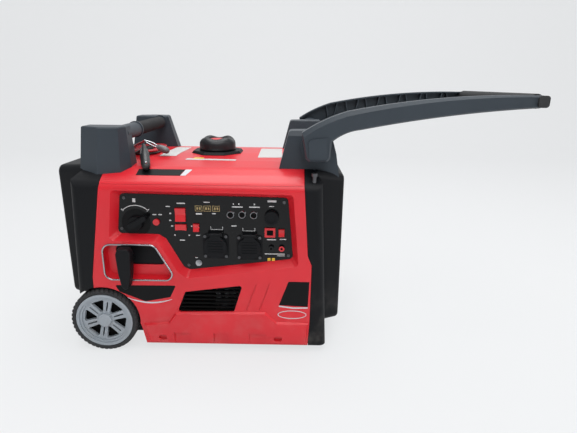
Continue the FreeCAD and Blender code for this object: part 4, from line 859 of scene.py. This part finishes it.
# ---------------------------------------------------------------- prints and labels
class GENERATOR_OT_panel_prints(bpy.types.Operator):
    """Prints plain marks on the control panel: arc, dashes, frames and two warm squares"""
    bl_idname = "generator.panel_prints"
    bl_label = "Panel prints"

    def execute(self, context):
        level, thick = PANEL_Y, 0.00025
        pale = [slab(bar(x, z, w, h), level, thick) for x, z, w, h in (
            (-132, 336, 6, 8), (-59, 309, 4, 2.6), (-60, 294, 4, 2.6), (-57, 282, 4, 2.6), (-16, 282, 3, 2.6),
            (-52, 262, 3, 2.4), (-22, 262, 3, 2.4), (-37, 251, 11, 2), (-36, 331, 17, 2.4), (-63, 324, 9, 2),
            (17, 334, 12, 1.8), (0, 309, 12, 3), (31, 310, 7, 2.2), (-92, 306, 8, 2), (-80, 306, 7, 2),
            (80, 325, 22, 2.2), (115, 325, 22, 2.2), (72, 331, 2, 3), (83, 331, 2, 3), (115, 331, 3, 3),
            (151, 338, 18, 4), (150, 327, 10, 1.6), (150, 255, 19, 2), (174, 256, 14, 1.8), (157, 223, 42, 2),
            (170, 219, 16, 1.4), (72, 284, 10, 2), (-4, 262, 8, 1.8), (-9, 212, 5, 1.6))]
        pale.append(arc_band(np.array(DIAL), 38.0, 1.5, 44, 136, level, thick))
        pale += [arc_band(np.array(DIAL), 41.0, 6.0, a, a + 3.0, level, thick, 4) for a in (44, 133)]
        for x, z in ((36, 279), (103, 277)):
            pale.append(slab(bar(x, z - 3.4, 24, 0.9), level, thick))
            pale += [slab(bar(x + d, z, 1.0, 6.5), level, thick) for d in (-12.5, 12.5)]
        rides(stacked("PanelPrints", pale), "white", "case")
        frames = [rim_of(bar(x, 320.5, 15, 12), 1.0, level, thick) for x in (0, 18, 36)]
        frames += [slab(bar(x + d, 320.5, 3.2, 5.2), level, thick) for x in (0, 18, 36) for d in (-2.6, 2.6)]
        rides(stacked("PanelWarmFrames", frames), "amber", "case")
        squares = [slab(bar(x, 210.5, 6.5, 6.5), level, thick) for x in (145, 154)]
        rides(stacked("PanelWarmSquares", squares), "yellow", "case")
        disc = [arc_band(np.array(DIAL), 30.0, 29.0, 0.0, 359.0, level, thick, 72)]
        rides(stacked("DialDisc", disc), "decal_black", "case")
        # painted shade: near-black discs on the three sockets where their holes are
        hole_shade = [arc_band(np.array(at), 5.9, 5.8, 0.0, 359.0, level - 0.0033, thick, 48)
                 for at in ((65.5, 308.5), (89.5, 309.0), (113.5, 308.0))]
        rides(stacked("SocketHoleShade", hole_shade), "painted_shade", "case")
        rim = arc_band(np.array((171.5, 236.5)), 5.9, 3.4, 0.0, 359.0, level - 0.006, thick, 48)
        rides(stacked("JackRing", [rim]), "red_switch", "case")
        # painted shade: a near-black patch on the breaker's face
        patch = slab(bar(147, 271, 13, 11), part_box("breaker_switch")[0].y, thick)
        rides(stacked("BreakerShadePatch", [patch]), "painted_shade", "breaker_press")
        return {"FINISHED"}


class GENERATOR_OT_labels(bpy.types.Operator):
    """Lays the plain labels on the side and the top: dark flashes, silver strokes, blank patches"""
    bl_idname = "generator.labels"
    bl_label = "Labels"

    def on_top(self, name, corners, finish, slot, rise=0.45):
        """A label that follows the top: a grid between four corners (x, y), whose height is read from
        the top's section at each y."""
        u, v = np.meshgrid(np.linspace(0, 1, 9), np.linspace(0, 1, 13), indexing="ij")
        c = np.array(corners, float)
        flat = ((1 - u) * (1 - v))[..., None] * c[0] + (u * (1 - v))[..., None] * c[1]
        flat = flat + (u * v)[..., None] * c[2] + ((1 - u) * v)[..., None] * c[3]
        y, z = np.array(ARCH).T
        height = np.interp(np.abs(flat[..., 1]), y, z)
        top = np.concatenate([flat, (height + rise)[..., None]], -1).reshape(-1, 3)
        low = np.concatenate([flat, (height - 0.4)[..., None]], -1).reshape(-1, 3)
        n, (rows, columns) = len(top), u.shape
        points = up(*[tuple(p) for p in np.vstack([top, low])])
        faces = [tuple(f) for f in grid_faces(rows, columns)]
        faces += [tuple(f[::-1]) for f in grid_faces(rows, columns, start=n)]
        edge = np.concatenate([np.arange(columns), np.arange(1, rows) * columns + columns - 1,
                               (rows - 1) * columns + np.arange(columns - 2, -1, -1),
                               np.arange(rows - 2, 0, -1) * columns])
        nxt = np.roll(edge, -1)
        faces += [tuple(f) for f in np.stack([nxt, edge, edge + n, nxt + n], 1)]
        made = mesh_piece(name, points, outward(points - points.mean(0), faces), False)
        return rides(made, finish, "case")

    def execute(self, context):
        dark, pale = ("decal_black", "panel_black"), ("blank_label", "rim_grey")
        flash, warm = ("silver", "rim_grey"), ("yellow", "yellow_plastic")
        for name, corners, finish, rise in (
                ("TopStrip", [(-125, -191), (-36, -191), (-29, -169), (-125, -169)], dark, 0.45),
                ("TopStripFlash", [(-35, -191), (-24, -190), (-15, -169), (-28, -169)], flash, 0.45),
                ("TopLabelBack", [(-116, -52), (-78, -52), (-74, 96), (-112, 96)], pale, 0.45),
                ("TopLabelRight", [(112, -58), (168, -55), (164, 92), (110, 90)], pale, 0.45),
                ("TopStripPale", [(-46, -96), (66, -100), (66, -86), (-46, -80)], pale, 0.45),
                ("TopStripYellow", [(-31, -84), (-9, -85), (-9, -70), (-31, -68)], warm, 0.6)):
            self.on_top(name, corners, *finish, rise)
        thick = 0.0003
        outline = rounded([(-181, 154), (-173, 139), (-119, 117), (-65, 128), (-52, 155)], 2.0, 4)
        left = slab(outline, SIDE_Y, thick)
        right = slab([(187, 168), (231, 168), (229, 110), (167, 113)], SIDE_Y, thick)
        rides(stacked("SideLabels", [left, right]), "decal_black", "case")
        # a swoosh: its lower edge bows out from its upper one by the parabola t (1 - t)
        sweep = np.linspace(0.0, 1.0, 17)
        x = -157.0 + 95.0 * sweep
        upper = 125.5 - 34.0 * sweep * (1.0 - sweep) - 2.0 * sweep
        lower = upper - 1.0 - 10.0 * sweep * (1.0 - sweep)
        curve = np.vstack([np.stack([x, upper], 1), np.stack([x, lower], 1)[::-1]])
        underline = [(167, 112), (198, 108), (229, 109), (229, 106), (198, 105), (167, 109)]
        strokes = [slab(curve, SIDE_Y, thick), slab(underline, SIDE_Y, thick)]
        oval = np.linspace(0.0, 2.0 * math.pi, 48, endpoint=False)
        badge = np.stack([195.5 + 31 * np.cos(oval), 90.5 + 10 * np.sin(oval)], 1)
        strokes.append(rim_of(badge, 1.6, SIDE_Y, thick))
        rides(stacked("SideStrokes", strokes), "silver", "case")
        return {"FINISHED"}


# ---------------------------------------------------------------- frame
# nodes that look darker than the rest of their slot: the side grille and the recoil pulley take the
# near-black painted shade of their recesses, the panel screws a dark cast metal
OWN_FINISH = {"side_grille": "painted_shade", "panel_screws": "cast", "recoil_pulley": "painted_shade"}


class GENERATOR_OT_finishes(bpy.types.Operator):
    """Mixes the finishes that the pieces and the nodes take"""
    bl_idname = "generator.finishes"
    bl_label = "Mix the finishes"

    def execute(self, context):
        mix_palette()
        return {"FINISHED"}


class GENERATOR_OT_paint_frame(bpy.types.Operator):
    """Gives every node of the frame the finish of its material slot, save the nodes in OWN_FINISH: the side
    grille and the recoil pulley get the painted shade black, the panel screws cast metal
    """
    bl_idname = "generator.paint_frame"
    bl_label = "Paint the frame"

    def execute(self, context):
        for row in frame["record"]["subparts"]:
            piece = frame["nodes"][row["node"]]
            piece.data.materials.clear()
            # the side grille and the recoil pulley get the near-black painted shade here, by OWN_FINISH
            piece.data.materials.append(PALETTE[OWN_FINISH.get(row["node"], row["material_slot"])])
        return {"FINISHED"}


# ---------------------------------------------------------------- register and run
STEPS = [GENERATOR_OT_camera, GENERATOR_OT_finishes, GENERATOR_OT_lead, GENERATOR_OT_tyres,
         GENERATOR_OT_filler, GENERATOR_OT_trims, GENERATOR_OT_panel_prints, GENERATOR_OT_labels,
         GENERATOR_OT_paint_frame, GENERATOR_OT_stage]


class GENERATOR_PT_panel(bpy.types.Panel):
    """Lists the machine's colours and sizes, and the steps that finish it"""
    bl_idname = "GENERATOR_PT_panel"
    bl_label = "Generator"
    bl_space_type = "VIEW_3D"
    bl_region_type = "UI"
    bl_category = "Generator"

    def draw(self, context):
        for group in settings():
            box = self.layout.box()
            for key in group.__annotations__:
                box.prop(group, key)
        for step in STEPS:
            self.layout.operator(step.bl_idname)


GROUPS = {"generator_colours": GENERATOR_PG_colours, "generator_sizes": GENERATOR_PG_sizes,
          "generator_stage": GENERATOR_PG_stage}


def register():
    for cls in [*GROUPS.values(), *STEPS, GENERATOR_PT_panel]:
        bpy.utils.register_class(cls)
    for name, cls in GROUPS.items():
        setattr(bpy.types.Scene, name, bpy.props.PointerProperty(type=cls))


def unregister():
    for name in GROUPS:
        delattr(bpy.types.Scene, name)
    for cls in reversed([*GROUPS.values(), *STEPS, GENERATOR_PT_panel]):
        bpy.utils.unregister_class(cls)


def main():
    register()
    for step in STEPS:
        group, verb = step.bl_idname.split(".")
        getattr(getattr(bpy.ops, group), verb)()


if __name__ == "__main__":
    main()
